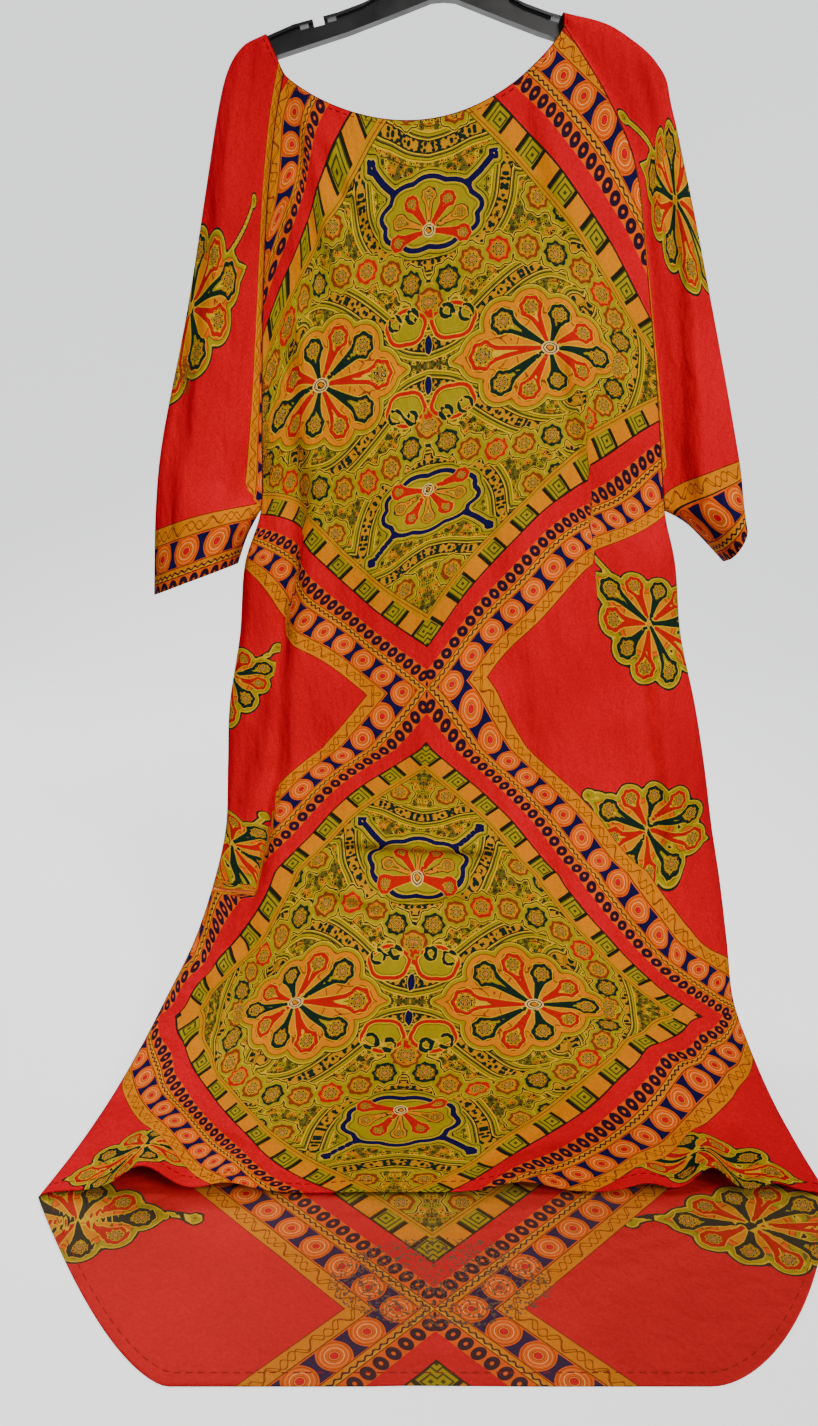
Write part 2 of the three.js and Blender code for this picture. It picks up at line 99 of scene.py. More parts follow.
HEM_CORNER_FROM = 0.55

# Sleeve rows: outer x and z, middle y, half the depth; then the tube's inner x and z.
LEFT_SLEEVE = np.array([
    [-180, -115, 0, 14], [-203, -125.6, -1, 17], [-219, -148, -3, 22], [-231, -190, -6, 27],
    [-248, -276, -9, 32], [-270, -384, -11, 36], [-301, -512, -13, 38], [-312, -590, -14, 38],
    [-318, -682, -14, 38]], float)
RIGHT_SLEEVE = np.array([
    [120, -96.4, 0, 14], [171, -108.6, -1, 17], [220, -146, -3, 22], [234, -188, -6, 27],
    [259, -276, -9, 32], [290, -398, -11, 36], [321, -528, -13, 38], [328, -572, -14, 36],
    [333, -606, -14, 34]], float)
LEFT_TUBE = np.array([[-198, -588], [-214, -616], [-226, -648]], float)
RIGHT_TUBE = np.array([[247, -590], [275, -606], [316, -646]], float)
SLEEVE_END_ROW = 8

# Folds that the solids have too: from x and drop, to x and drop, ridge, valley, width.
FRONT_FOLDS = [
    (-146, 440, -156, 560, 7, 12, 17), (-156, 560, -222, 805, 8, 10, 17),
    (150, 360, 158, 466, -2, 3, 14), (158, 466, 203, 790, -3, 4, 15),
    (-105, 880, 60, 884, -6, -8, 20), (-240, 1130, -95, 1290, 9, 6, 24),
    (214, 1010, 262, 1230, 8, 8, 22),
]
# Softer creases of the surface alone, in the same columns.
FRONT_CREASES = [
    (-150, 130, -118, 250, 3.2, 3.2, 11), (-120, 150, -70, 215, 2.4, 2.6, 10),
    (86, 120, 132, 240, 2.8, 3.2, 12), (-158, 300, -150, 430, 3.6, 4.4, 11),
    (118, 300, 150, 420, 3.2, 3.6, 11), (-60, 470, -95, 640, 2.6, 3.0, 22),
    (60, 480, 84, 660, 2.2, 2.8, 24), (-20, 600, -30, 830, 2.2, 2.0, 30),
    (-166, 590, -178, 775, 0.5, 7.0, 9), (-184, 780, -204, 930, 6.0, 6.5, 10),
    (-96, 850, 46, 858, 5.0, 6.5, 10), (-120, 905, -60, 925, 3.0, 4.5, 12),
    (-40, 905, 70, 898, 3.0, 4.0, 13), (110, 700, 140, 960, 2.8, 3.6, 22),
    (232, 640, 262, 860, 5.5, 6.0, 13), (248, 830, 268, 1010, 4.5, 6.5, 11),
    (-176, 700, -190, 900, 3.0, 4.0, 15), (-208, 890, -262, 1040, 4.5, 7.0, 13),
    (-150, 960, -260, 1010, 4.0, 5.5, 14), (-262, 960, -225, 1120, 5.0, 5.5, 14),
    (-120, 1040, -230, 1120, 4.5, 5.0, 16), (-200, 1000, -286, 1170, 5.0, 6.5, 14),
    (200, 900, 232, 1040, 3.4, 5.0, 14), (226, 960, 292, 1170, 5.5, 7.0, 13),
    (150, 1060, 250, 1130, 5.0, 6.0, 14), (-30, 1180, 90, 1120, 6.5, 7.5, 16),
    (30, 1250, 160, 1170, 6.5, 7.5, 16), (-260, 1180, -180, 1240, 6.5, 6.5, 13),
]
# The same kind on the back, the last four of them on the train.
BACK_CREASES = [
    (-120, 150, -72, 300, 3.0, 3.4, 12), (112, 140, 66, 290, 2.6, 3.2, 12),
    (-152, 330, -120, 520, 3.4, 4.0, 13), (150, 350, 128, 540, 3.6, 4.2, 14),
    (-56, 560, -92, 860, 2.8, 3.4, 24), (52, 600, 74, 930, 2.6, 3.2, 26),
    (-168, 620, -204, 900, 4.6, 5.4, 14), (188, 640, 222, 900, 5.0, 5.6, 13),
    (-10, 820, 120, 905, 3.4, 4.2, 14), (-218, 880, -262, 1120, 5.0, 6.0, 15),
    (222, 880, 262, 1120, 4.6, 5.6, 15), (-88, 960, -146, 1140, 4.2, 5.0, 20),
    (90, 980, 152, 1140, 4.4, 4.8, 19), (-200, 1345, -70, 1420, 2.0, 1.6, 13),
    (70, 1450, 210, 1385, 1.8, 1.6, 15), (-60, 1525, 110, 1545, 1.4, 1.4, 13),
    (190, 1490, 260, 1430, 1.8, 1.4, 11),
]
CREASE_DEPTH = 1.25  # how much deeper the body's soft creases are than their tables say
# Creases of the sleeves, with the level below the hook for the drop.
LEFT_CREASES = [
    (-188, 130, -206, 250, 3.0, 3.6, 8), (-205, 135, -226, 240, 2.4, 3.0, 9),
    (-236, 290, -270, 520, 4.5, 5.0, 12), (-214, 380, -240, 590, 4.0, 5.0, 10),
    (-268, 430, -290, 640, 3.5, 4.0, 12), (-225, 590, -262, 655, 6.0, 6.5, 9),
]
RIGHT_CREASES = [
    (226, 150, 240, 300, 5.0, 6.0, 8), (196, 130, 222, 220, 2.4, 2.6, 9),
    (244, 300, 268, 520, 5.0, 5.5, 10), (278, 330, 312, 560, 3.4, 3.8, 14),
    (262, 520, 286, 612, 4.5, 5.0, 10),
]
# Waves of the front hem: middle x, width, height.
HEM_WAVES = [(-262, 26, 26), (-190, 24, 9), (62, 30, 10), (168, 20, 8), (222, 18, 24),
             (278, 16, 10)]
HEM_WAVE_REACH = 150
HEM_DROP = 1314


def smooth(low, high, x):
    """0 below low, 1 above high, and the cubic s-curve between them."""
    t = np.clip((x - low) / (high - low), 0, 1)
    return t * t * (3 - 2 * t)


def between_rows(rows, at):
    """Catmull-Rom values of a table at fractional row numbers, for all its columns at once."""
    last = len(rows) - 1
    i = np.clip(np.floor(at).astype(int), 0, last - 1)
    f = (at - i)[..., None]
    a, b, c, d = (rows[np.clip(i + k, 0, last)] for k in (-1, 0, 1, 2))
    return b + 0.5 * f * (c - a + (2 * a - 5 * b + 4 * c - d + (3 * b - a - 3 * c + d) * f) * f)


def crease_height(x, drop, folds):
    """Sum of creases. Each is a ridge beside a valley, two bell curves either side of its line,
    faded in and out at the line's ends."""
    out = np.zeros_like(x)
    for from_x, from_drop, to_x, to_drop, ridge, valley, width in folds:
        length = math.hypot(to_x - from_x, to_drop - from_drop)
        ux, uy = (to_x - from_x) / length, (to_drop - from_drop) / length
        reach = (x - from_x) * ux + (drop - from_drop) * uy
        side = (x - from_x) * uy - (drop - from_drop) * ux
        fade = smooth(-40, 25, reach) * (1 - smooth(length - 25, length + 40, reach))
        out += fade * (ridge * np.exp(-((side - 0.6 * width) / width) ** 2)
                       - valley * np.exp(-((side + 0.6 * width) / width) ** 2))
    return out


def body_sheet(is_front, across, at, creases):
    """The middle of the front or back cloth, in mm. across runs -1 to 1 between the side seams and
    at is the row. The depth falls from the row's middle to the seams as a superellipse."""
    row = between_rows(BODY_ROWS, at)

    def get(name):
        return row[..., BODY[name]]

    skirt = smooth(*ROUNDING_ROWS, at)
    low = smooth(*TRAIN_ROWS, at)
    side = np.abs(across)
    rounded = np.sqrt(np.maximum(0, 1 - side ** 2.6))
    slant = np.maximum(0, (side - HEM_CORNER_FROM) / (1 - HEM_CORNER_FROM))
    corner = 1 - slant ** (1.55 + 0.25 * across)
    face = "front" if is_front else "back"
    middle_y, middle_z = get(face + "_y"), get(face + "_z")
    half = np.where(at > UNDERARM_ROW, 0, get("seam_half"))
    seam_y = get("seam_y") + (-half if is_front else half)
    depth = skirt * rounded + (1 - skirt) * (1 - side ** 3)
    if not is_front:
        depth = depth * (1 - low) + corner * low
    x = get("left_x") + (get("right_x") - get("left_x")) * (across + 1) / 2
    seam_z = get("left_z") + (get("right_z") - get("left_z")) * (across + 1) / 2
    mean_z = (get("left_z") + get("right_z")) / 2
    scoop = np.maximum(0, 1 - side ** 2) ** 0.85 * (1 + 0.12 * across)
    skirt_dip = rounded if is_front else np.sqrt(np.maximum(0, 1 - side ** 6))
    dip = np.where(at <= UNDERARM_ROW, scoop, skirt_dip)
    y = seam_y + (middle_y - seam_y) * depth
    z = seam_z + (middle_z - mean_z) * dip
    drop = get("drop") if is_front else get("back_length")
    clear = 1 - side ** 8
    out = crease_height(x, drop, FRONT_FOLDS) if is_front else 0
    fine = CREASE_DEPTH * crease_height(x, drop, creases)
    if is_front:
        near = smooth(HEM_DROP - HEM_WAVE_REACH, HEM_DROP, drop)
        lift = sum(h * np.exp(-((x - c) / w) ** 2) for c, w, h in HEM_WAVES) * near
        y = y - (out + fine) * clear * (1 - 0.7 * low)
        z = z + (lift + (out + fine) * 0.7 * low) * clear
        z = z + SEAM_RISE * low * side ** 3 * np.sqrt(np.maximum(0, 1 - side ** 12))
    else:
        y = y + fine * clear * (1 - low)
        z = z + np.abs(fine) * clear * low
    z = np.maximum(z, GROUND_Z + WALL / 2)
    return np.stack([x, y, z], -1), drop


def sleeve_sheet(is_left, around, at):
    """The middle of a sleeve's cloth, in mm. around runs 0 at the front seam, over the outer side
    at 0.5, to 1 at the back seam: an arch down to the underarm, a closed loop below it."""
    rows, tube = (LEFT_SLEEVE, LEFT_TUBE) if is_left else (RIGHT_SLEEVE, RIGHT_TUBE)
    row = between_rows(rows, at)
    body = between_rows(BODY_ROWS, np.minimum(at, UNDERARM_ROW))
    seam = body[..., :2] if is_left else body[..., 2:4]
    inner = np.where((at <= UNDERARM_ROW)[..., None], seam,
                     between_rows(tube, np.maximum(at - UNDERARM_ROW, 0)))
    closed = smooth(*ROUNDING_ROWS, at)
    top = 1 - smooth(1.8, 4, at)
    out = np.sin(around * math.pi).clip(0) ** (1 - 0.35 * closed)
    arch = np.sqrt(np.maximum(0, 1 - out ** (2 + 5 * top)))
    loop = 2 * np.sqrt(np.maximum(0, out * (1 - out)))
    sign = np.where(around < 0.5, -1, 1)
    seam_half = np.where(at > UNDERARM_ROW, 0, body[..., BODY["seam_half"]])
    swell = row[..., 3] * ((1 - closed) * arch * (1 - (1 - out) ** 3) + closed * loop)
    from_seam = (1 - out) ** 2
    depth = seam_half * from_seam + swell * (1 - from_seam * (1 - closed))
    mid_y = body[..., BODY["seam_y"]] * from_seam + row[..., 2] * (1 - from_seam)
    return np.stack([inner[..., 0] + (row[..., 0] - inner[..., 0]) * out,
                     mid_y + sign * depth,
                     inner[..., 1] + (row[..., 1] - inner[..., 1]) * out], -1)


def grid_normals(points, sign):
    """Unit normals of a grid from its central differences."""
    normal = np.cross(np.gradient(points, axis=1), np.gradient(points, axis=0)) * sign
    return normal / np.maximum(np.linalg.norm(normal, axis=-1, keepdims=True), 1e-9)


def cloth_shell(name, points, sign, attributes, thickness=0.8):
    """A closed shell about a grid of points in mm: the grid moved half its thickness out and in
    along its normals, joined by rims. Attributes are vectors per grid point; the print's third
    channel is set to 1 on the inner face, which is the cloth's wrong side."""
    rows, cols, _ = points.shape
    normals = grid_normals(points, sign)
    faces_up = points + normals * thickness / 2
    faces_down = points - normals * thickness / 2
    corners = np.concatenate([faces_up.reshape(-1, 3), faces_down.reshape(-1, 3)]) * MM
    index = np.arange(rows * cols).reshape(rows, cols)
    under = index + rows * cols
    a, b, c, d = index[:-1, :-1], index[1:, :-1], index[1:, 1:], index[:-1, 1:]
    quads = [np.stack([a, b, c, d], -1).reshape(-1, 4)]
    a, b, c, d = under[:-1, :-1], under[:-1, 1:], under[1:, 1:], under[1:, :-1]
    quads.append(np.stack([a, b, c, d], -1).reshape(-1, 4))
    ring = np.concatenate([index[:, 0], index[-1, 1:], index[-2::-1, -1], index[0, -2:0:-1]])
    low_ring = ring + rows * cols
    quads.append(np.stack([ring, low_ring, np.roll(low_ring, -1), np.roll(ring, -1)], -1))
    quads = np.concatenate(quads)
    mesh = bpy.data.meshes.new(name)
    mesh.from_pydata(corners, [], quads.tolist())
    mesh.update()
    for key, values in attributes.items():
        values = values.reshape(-1, 3)
        both = np.concatenate([values, values])
        if key == "print":
            both[len(values):, 2] = 1
        layer = mesh.attributes.new(key, "FLOAT_VECTOR", "POINT")
        layer.data.foreach_set("vector", both.astype(np.float32).ravel())
    mesh.polygons.foreach_set("use_smooth", np.ones(len(quads), bool))
    a, b, c, d = (corners[quads[:, k]] for k in range(4))
    volume = np.einsum("ij,ij->", a, np.cross(b, c)) + np.einsum("ij,ij->", a, np.cross(c, d))
    if volume < 0:
        mesh.flip_normals()
    piece = bpy.data.objects.new(name, mesh)
    bpy.context.scene.collection.objects.link(piece)
    return piece


# ---- The print. It is a square block set on its corner, repeated up and down the cloth, with a
# border on its four sides, on a plain red ground. Each block is the same on both sides of its
# middle lines, so one quarter is drawn, in mm from the block's middle.
BLOCK_HALF, BLOCK_MIDDLE = 356, 333
BLOCK_EDGE = 196
FAR = 400.0
DIAGONAL = math.sqrt(2)


def curve(points, count=14):
    """A smooth line through points, as many short segments of a Catmull-Rom curve."""
    table = np.array(points, float)
    return between_rows(table, np.linspace(0, len(table) - 1, (len(table) - 1) * count // 3 + 1))


def spiral_end(points, middle, radius, turns=1.1, way=1):
    """The points, then a spiral that winds inwards round its middle."""
    start = math.atan2(points[-1][1] - middle[1], points[-1][0] - middle[0])
    t = np.linspace(0, 1, 9)[1:]
    angle = start + way * t * turns * 2 * math.pi
    reach = radius * (1 - 0.75 * t)
    return list(points) + [(middle[0] + r * math.cos(a), middle[1] + r * math.sin(a))
                           for r, a in zip(reach, angle)]


def line_distance(x, y, points):
    """Distance to a line of points, and how far along it the nearest place is."""
    best, along, start = np.full(x.shape, 1e3), np.zeros(x.shape), 0.0
    for (x0, y0), (x1, y1) in zip(points[:-1], points[1:]):
        dx, dy = x1 - x0, y1 - y0
        length = max(math.hypot(dx, dy), 1e-6)
        t = np.clip(((x - x0) * dx + (y - y0) * dy) / length ** 2, 0, 1)
        d = np.hypot(x - x0 - t * dx, y - y0 - t * dy)
        along = np.where(d < best, start + t * length, along)
        best = np.minimum(best, d)
        start += length
    return best, along


def shape_distance(x, y, points):
    """Signed distance to a closed outline, less than 0 inside."""
    ring = list(points) + [points[0]]
    best, _ = line_distance(x, y, ring)
    inside = np.zeros(x.shape, bool)
    for (x0, y0), (x1, y1) in zip(ring[:-1], ring[1:]):
        if y0 != y1:
            crosses = (y0 > y) != (y1 > y)
            inside ^= crosses & (x < (x1 - x0) * (y - y0) / (y1 - y0) + x0)
    return np.where(inside, -best, best)


def teardrop(x, y, root, head, width, lobes=7):
    """Signed distance to a petal: a thin stalk from its root that swells to a scalloped head."""
    dx, dy = head[0] - root[0], head[1] - root[1]
    length = math.hypot(dx, dy)
    t = np.clip(((x - root[0]) * dx + (y - root[1]) * dy) / length ** 2, 0, 1)
    thick = 1.4 + (0.62 * width - 1.4) * t ** 1.4
    d = np.hypot(x - root[0] - t * dx, y - root[1] - t * dy) - thick
    rx, ry = x - head[0], y - head[1]
    angle = np.arctan2(ry * dx - rx * dy, rx * dx + ry * dy)
    return np.minimum(d, np.hypot(rx, ry) - width * (0.93 + 0.08 * np.cos(lobes * angle)))


def nearest(*fields):
    return np.minimum.reduce(fields)


# One palmette's petals: direction in degrees from its tip, reach and width of the head, and
# whether it is red or dark.
PALMETTE = [(0, 71, 15, "red"), (180, 54, 13, "dark")]
PALMETTE[1:1] = [(side * angle, reach, width, kind) for angle, reach, width, kind in (
    (31, 59, 13.5, "dark"), (63, 48, 12.5, "red"), (103, 37, 12, "dark"), (148, 42, 11.5, "red"))
    for side in (1, -1)]
# Its pointed ends: where each stops and starts along its length.
PALMETTE_ENDS = ((102, 60), (-86, -44))


def palmette(x, y, middle, turn, scale=1.0, lean=1.0):
    """Distances to a palmette's red petals, dark petals and whole ground, and places in its
    nearest petal head. turn is the direction of its tip in degrees; lean squeezes it across."""
    c, s = math.cos(math.radians(turn)), math.sin(math.radians(turn))
    dx, dy = (x - middle[0]) / scale, (y - middle[1]) / scale
    u, v = dx * c + dy * s, (dy * c - dx * s) / lean
    red, dark, ground = [np.full(x.shape, 400.0)] * 3
    heads = []
    for angle, reach, width, kind in PALMETTE:
        a = math.radians(angle)
        head = (reach * math.cos(a), reach * math.sin(a))
        petal = teardrop(u, v, (5 * math.cos(a), 5 * math.sin(a)), head, width)
        if kind == "red":
            red = np.minimum(red, petal)
        else:
            dark = np.minimum(dark, petal)
        ground = np.minimum(ground, np.hypot(u - head[0], v - head[1]) - width - 6.5)
        heads.append(((u - head[0]) / width, (v - head[1]) / width))
    for end, root in PALMETTE_ENDS:
        along = np.clip((u - root) / (end - root), 0, 1)
        tip = np.hypot(u - root - along * (end - root), v) - 20 * (1 - along) - 1
        ground = np.minimum(ground, tip)
    ground = np.minimum(ground, np.hypot(u, v) - 42)
    return red * scale, dark * scale, ground * scale, nearest_head(heads)


def nearest_head(heads):
    """Of several heads' own places, each 1 at its rim, the nearest one's."""
    x, y = np.array([h[0] for h in heads]), np.array([h[1] for h in heads])
    pick = np.argmin(x * x + y * y, axis=0)[None]
    return np.take_along_axis(x, pick, 0)[0], np.take_along_axis(y, pick, 0)[0]


def lobed(middle, wide, high, lobes, depth=0.1, count=72):
    """A closed scalloped oval: an ellipse whose reach swells once for each lobe around it."""
    around = np.linspace(0, 2 * math.pi, count + 1)
    reach = 1 + depth * np.abs(np.cos(around * lobes / 2))
    return np.column_stack([middle[0] + wide * reach * np.sin(around),
                            middle[1] + high * reach * np.cos(around)])


# The ribbons of leaves inside the block: a wave, a quarter circle, a rising line and a quarter
# of an ellipse, the first three ending in a spiral.
QUARTER = np.linspace(0, math.pi / 2, 7)
RIBBONS = [
    curve(spiral_end([(x, 54 - 36 * math.cos(math.pi * x / 132)) for x in range(0, 169, 24)],
                     (156, 54), 14, 1.0, -1)),
    curve(spiral_end([(78 * math.sin(a), 170 - 78 * math.cos(a)) for a in QUARTER],
                     (92, 188), 14, 0.9, -1)),
    curve(spiral_end([(x, 212 - 8 * math.cos(math.pi * x / 60)) for x in range(0, 61, 20)],
                     (62, 236), 13, 0.9, 1)),
    curve([(150 + 74 * math.sin(a), 108 * math.cos(a)) for a in QUARTER]),
]
# The fans, at even steps round an oval: middle, size and kind.
FAN_KINDS = ("gold", "dark", "gold", "red")
FANS = [((98 + 108 * math.cos(a), 18 + 86 * math.sin(a)), 12.5, FAN_KINDS[k % 4])
        for k, a in enumerate(np.radians(np.linspace(152, -8, 11)))]
FANS += [((112, 152), 12, "gold"), ((138, 140), 10, "dark"), ((26, 236), 12, "gold")]
BLOCK_PALMETTE = (128, 0)
LOTUS = lobed((0, 142), 52, 34, 9)
LOTUS_ROOT = (0, 125)
LOTUS_PETALS = [((36 * math.sin(a), LOTUS_ROOT[1] + 34 * math.cos(a)), 8.5, kind)
                for a, kind in zip(np.radians([0, 33, 66, 100]), ("gold", "red") * 2)]
LOTUS_HORN = (66, 193)
LOTUS_STEM = [(38, 166), (52, 178), LOTUS_HORN]
CARTOUCHE = lobed((26, 38), 23, 17, 5)
FLAME = lobed((0, 55), 6, 11, 4)


def block_fields(ax, ay):
    """The block's quarter: distances, in mm, to each kind of motif at places (ax, ay)."""
    red, dark, ground, petal_place = palmette(ax, ay, BLOCK_PALMETTE, 180)
    lotus = shape_distance(ax, ay, LOTUS)
    petals = {kind: nearest(*[teardrop(ax, ay, LOTUS_ROOT, h, w) for h, w, k in LOTUS_PETALS
                              if k == kind]) for kind in ("red", "gold")}
    heads = [((ax - h[0]) / w, (ay - h[1]) / w) for h, w, k in LOTUS_PETALS]
    ring = np.minimum(np.hypot(ax, ay - LOTUS_ROOT[1]),
                      np.hypot((ax - BLOCK_PALMETTE[0]) / 1.4, ay))
    horn = np.arctan2(ay - LOTUS_HORN[1], ax - LOTUS_HORN[0])
    lotus = nearest(lotus, np.hypot(ax - LOTUS_HORN[0], ay - LOTUS_HORN[1]) - 5 + np.cos(4 * horn),
                    line_distance(ax, ay, LOTUS_STEM)[0] - 2.6)
    cartouche = shape_distance(ax, ay, CARTOUCHE)
    cartouche = np.where(shape_distance(ax, ay, FLAME) < 0, -35, cartouche)
    leaf = np.hypot(ax / 0.42, ay - 19) - 9
    scroll = np.minimum(np.abs(np.hypot(ax - 19, ay - 48) - 6) - 1.5,
                        np.abs(np.hypot(ax - 39, ay - 44) - 7) - 1.2)
    ribbon, along = np.full(ax.shape, FAR), np.zeros(ax.shape)
    for points in RIBBONS:
        d, s = line_distance(ax, ay, points)
        along = np.where(d < ribbon, s, along)
        ribbon = np.minimum(ribbon, d)
    fans = dict.fromkeys(("gold", "dark", "red"), np.full(ax.shape, FAR))
    for (cx, cy), size, kind in FANS:
        angle = np.arctan2(ay - cy, ax - cx)
        fan = np.hypot(ax - cx, ay - cy) - size * (1 + 0.12 * np.cos(8 * angle))
        fans[kind] = np.minimum(fans[kind], fan)
        heads.append(((ax - cx) / size, (ay - cy) / size))
    place = nearest_head([*heads, petal_place])
    inside = nearest(red, dark, *petals.values(), *fans.values())
    return {"petals": (red, dark, ground), "lotus": (lotus, petals["red"], petals["gold"]),
            "cartouche": (cartouche, leaf, scroll), "ribbon": (ribbon, along, ring),
            "fans": (fans["gold"], fans["dark"], fans["red"]), "bloom": (*place, inside)}


def field_palmette(x, y, middle, turn, scale, lean, stalk):
    """A palmette out on the red ground, with a stalk that ends in a small club."""
    red, dark, ground, place = palmette(x, y, middle, turn, scale, lean)
    d, _ = line_distance(x, y, curve([middle] + list(stalk)))
    club = np.hypot(x - stalk[-1][0], y - stalk[-1][1]) - 8
    return red, dark, nearest(ground, d - 4.2, club), place


NO_MOTIF = 40.0


def print_layers(X, Y, field_palmettes, edges, sleeve_border=None):
    """Every attribute of the printed cloth, from print places X, Y in mm. Distances are kept to
    NO_MOTIF either way. field_palmettes are those of the side fields, and edges are the
    distances to the hem and to the nearest seam."""
    ay = np.abs((Y - BLOCK_MIDDLE + BLOCK_HALF) % (2 * BLOCK_HALF) - BLOCK_HALF)
    ax = np.abs(X)
    none = np.full(X.shape, NO_MOTIF)
    layers = block_fields(ax, ay)
    border = np.zeros(X.shape + (3,))
    inside_block = (ax + ay) / DIAGONAL < BLOCK_EDGE
    if sleeve_border is not None:
        inside_block = np.zeros(X.shape, bool)
        border = np.stack([sleeve_border[0], sleeve_border[1], np.ones(X.shape)], -1)
    for key, lengths in (("petals", 2), ("lotus", 3), ("cartouche", 3), ("fans", 3)):
        kept = [np.where(inside_block, f, none) for f in layers[key][:lengths]]
        layers[key] = (*kept, *layers[key][lengths:])
    bx, by, inside = layers["bloom"]
    inside = np.where(inside_block, inside, none)
    red, dark, ground = layers["petals"]
    field = none
    for palm in field_palmettes:
        r, d, g, place = field_palmette(X, Y, *palm)
        closer = np.minimum(r, d) < inside
        bx, by = np.where(closer, place[0], bx), np.where(closer, place[1], by)
        inside = nearest(inside, r, d)
        red, dark, field = np.minimum(red, r), np.minimum(dark, d), np.minimum(field, g)
    ribbon, along, ring = layers["ribbon"]
    layers.update(petals=(red, dark, ground), bloom=(bx, by, inside), field=(field, *edges),
                  ribbon=(ribbon, along, np.where(inside_block, ring, none)))
    out = {key: np.stack([f if (key, i) in (("ribbon", 1), ("bloom", 0), ("bloom", 1))
                          else np.clip(f, -NO_MOTIF, NO_MOTIF) for i, f in enumerate(fields)], -1)
           for key, fields in layers.items()}
    out["print"] = np.stack([X, Y, np.zeros(X.shape)], -1)
    out["border"] = border
    return out


# ---- Where the print lies on the cut pieces
SHOULDER_Z = -110
AXIS_LEVELS = [0, 500, 640, 740, 881, 1042, 1178, 1400]
AXIS_X = [-15, -15, -15, -16, -26, -34, -43, -52]
OFFSET_LEVELS = [0, 76, 195, 331, 464, 630, 676, 740, 800, 881, 960, 1042, 1178, 1400]
OFFSET_Y = [18, 18, 13, 2, -5, 9, 12, -2, 8, 38, 24, 3, -8, -8]
TILT_LEVELS = [0, 410, 523, 600, 689, 1600]
TILT = [0.145, 0.145, 0.105, 0.03, 0, 0]
SIDE_DROOP, HEM_DROOP = 45, 28
LEFT_STRETCH = 0.13
ARMHOLE_SHIFT = 45
BACK_AXIS_X = -16
BACK_RISE = 48
TRAIN_FROM = 872
# How far down the border lies, against this plain map: print place, and shift.
BORDER_LIES = [
    (-128, 332, 1), (126, 333, 0), (-132, 1046, -1), (124, 1043, 2), (65, 101, -10),
    (140, 181, -15), (176, 222, -19), (222, 270, -22), (90, 89, -1), (140, 144, -6),
    (194, 188, 4), (219, 217, 0), (167, 454, 19), (98, 507, 35), (43, 561, 36), (-146, 503, -9),
    (-91, 561, -12), (-50, 599, -9), (-200, 439, 1), (199, 479, -10), (99, 549, 20),
    (44, 602, 22), (-149, 525, -6), (-90, 581, -3), (-46, 624, -2), (180, 545, 30),
    (139, 588, 28), (79, 646, 32), (-184, 615, -43), (-106, 657, -7), (-97, 804, 32),
    (-137, 879, -4), (-184, 937, -15), (-236, 972, 2), (-288, 1022, 4), (82, 804, 17),
    (136, 894, -20), (188, 953, -27), (239, 994, -17), (279, 1027, -10), (-112, 819, 3),
    (-152, 884, -23), (-199, 959, -50), (-285, 1004, -10), (96, 804, 2), (159, 894, -25),
    (223, 963, -31), (270, 1007, -27), (181, 804, 0), (240, 908, -45), (100, 725, -3),
    (-106, 731, -3), (-255, 1100, -3), (-169, 1187, -4), (-101, 1260, -9), (265, 1067, 20),
    (199, 1122, 30), (141, 1186, 24), (291, 1062, 27), (219, 1138, 23), (187, 1184, 9),
    (-78, 81, 23), (-103, 111, 18), (-130, 158, -2), (-184, 193, 17), (-201, 209, 17),
    (-219, 212, 33), (-102, 67, 32), (-115, 61, 52), (-129, 90, 37), (-166, 123, 40),
    (-197, 151, 44), (-213, 168, 42), (-147, 65, 32), (-167, 90, 26), (-200, 112, 37),
    (-218, 140, 27),
]
LIES_SPREAD, LIES_DAMPING = 55, 0.25
# Darts and a tuck: drop, x, and how far the print jumps across.
LEFT_DART = [(430, -138, 0), (540, -156, 20), (690, -192, 20), (805, -222, 0)]
RIGHT_DART = [(330, 150, 0), (440, 157, 20), (670, 180, 20), (790, 203, 0)]
LEFT_TUCK = [(760, -183, 0), (790, -184, 28), (820, -188, 62), (872, -198, 112), (906, -204, 138),
             (918, -205, 0)]


def arc_lengths(points):
    """Distance along each row of a grid of points, from the row's first point."""
    step = np.linalg.norm(np.diff(points, axis=1), axis=-1)
    return np.concatenate([np.zeros((len(points), 1)), np.cumsum(step, axis=1)], 1)


def row_length(points, axis_x):
    """Distance along each row in plan, from the place where x is axis_x."""
    length = arc_lengths(points[..., :2])
    start = np.array([np.interp(a, p, l) for a, p, l in zip(axis_x, points[..., 0], length)])
    return length - start[:, None]


def dart_shift(points, drop, table, outwards):
    """How far the print jumps beyond a dart or tuck."""
    levels, xs, takes = zip(*table)
    beyond = (points[..., 0] - np.interp(drop, levels, xs)) * outwards > 0
    return np.where(beyond, outwards * np.interp(drop, levels, takes), 0)


def lie_shift(X, Y):
    """Gaussian bumps about the places of BORDER_LIES, whose heights are solved so that their sum
    comes close to each one's shift."""
    seen = np.array(BORDER_LIES, float)

    def bumps(x, y):
        apart = (x[:, None] - seen[:, 0]) ** 2 + (y[:, None] - seen[:, 1]) ** 2
        return np.exp(-apart / (2 * LIES_SPREAD ** 2))

    solid = bumps(seen[:, 0], seen[:, 1]) + LIES_DAMPING * np.eye(len(seen))
    heights = np.linalg.solve(solid, seen[:, 2])
    return (bumps(X.ravel(), Y.ravel()) @ heights).reshape(X.shape)


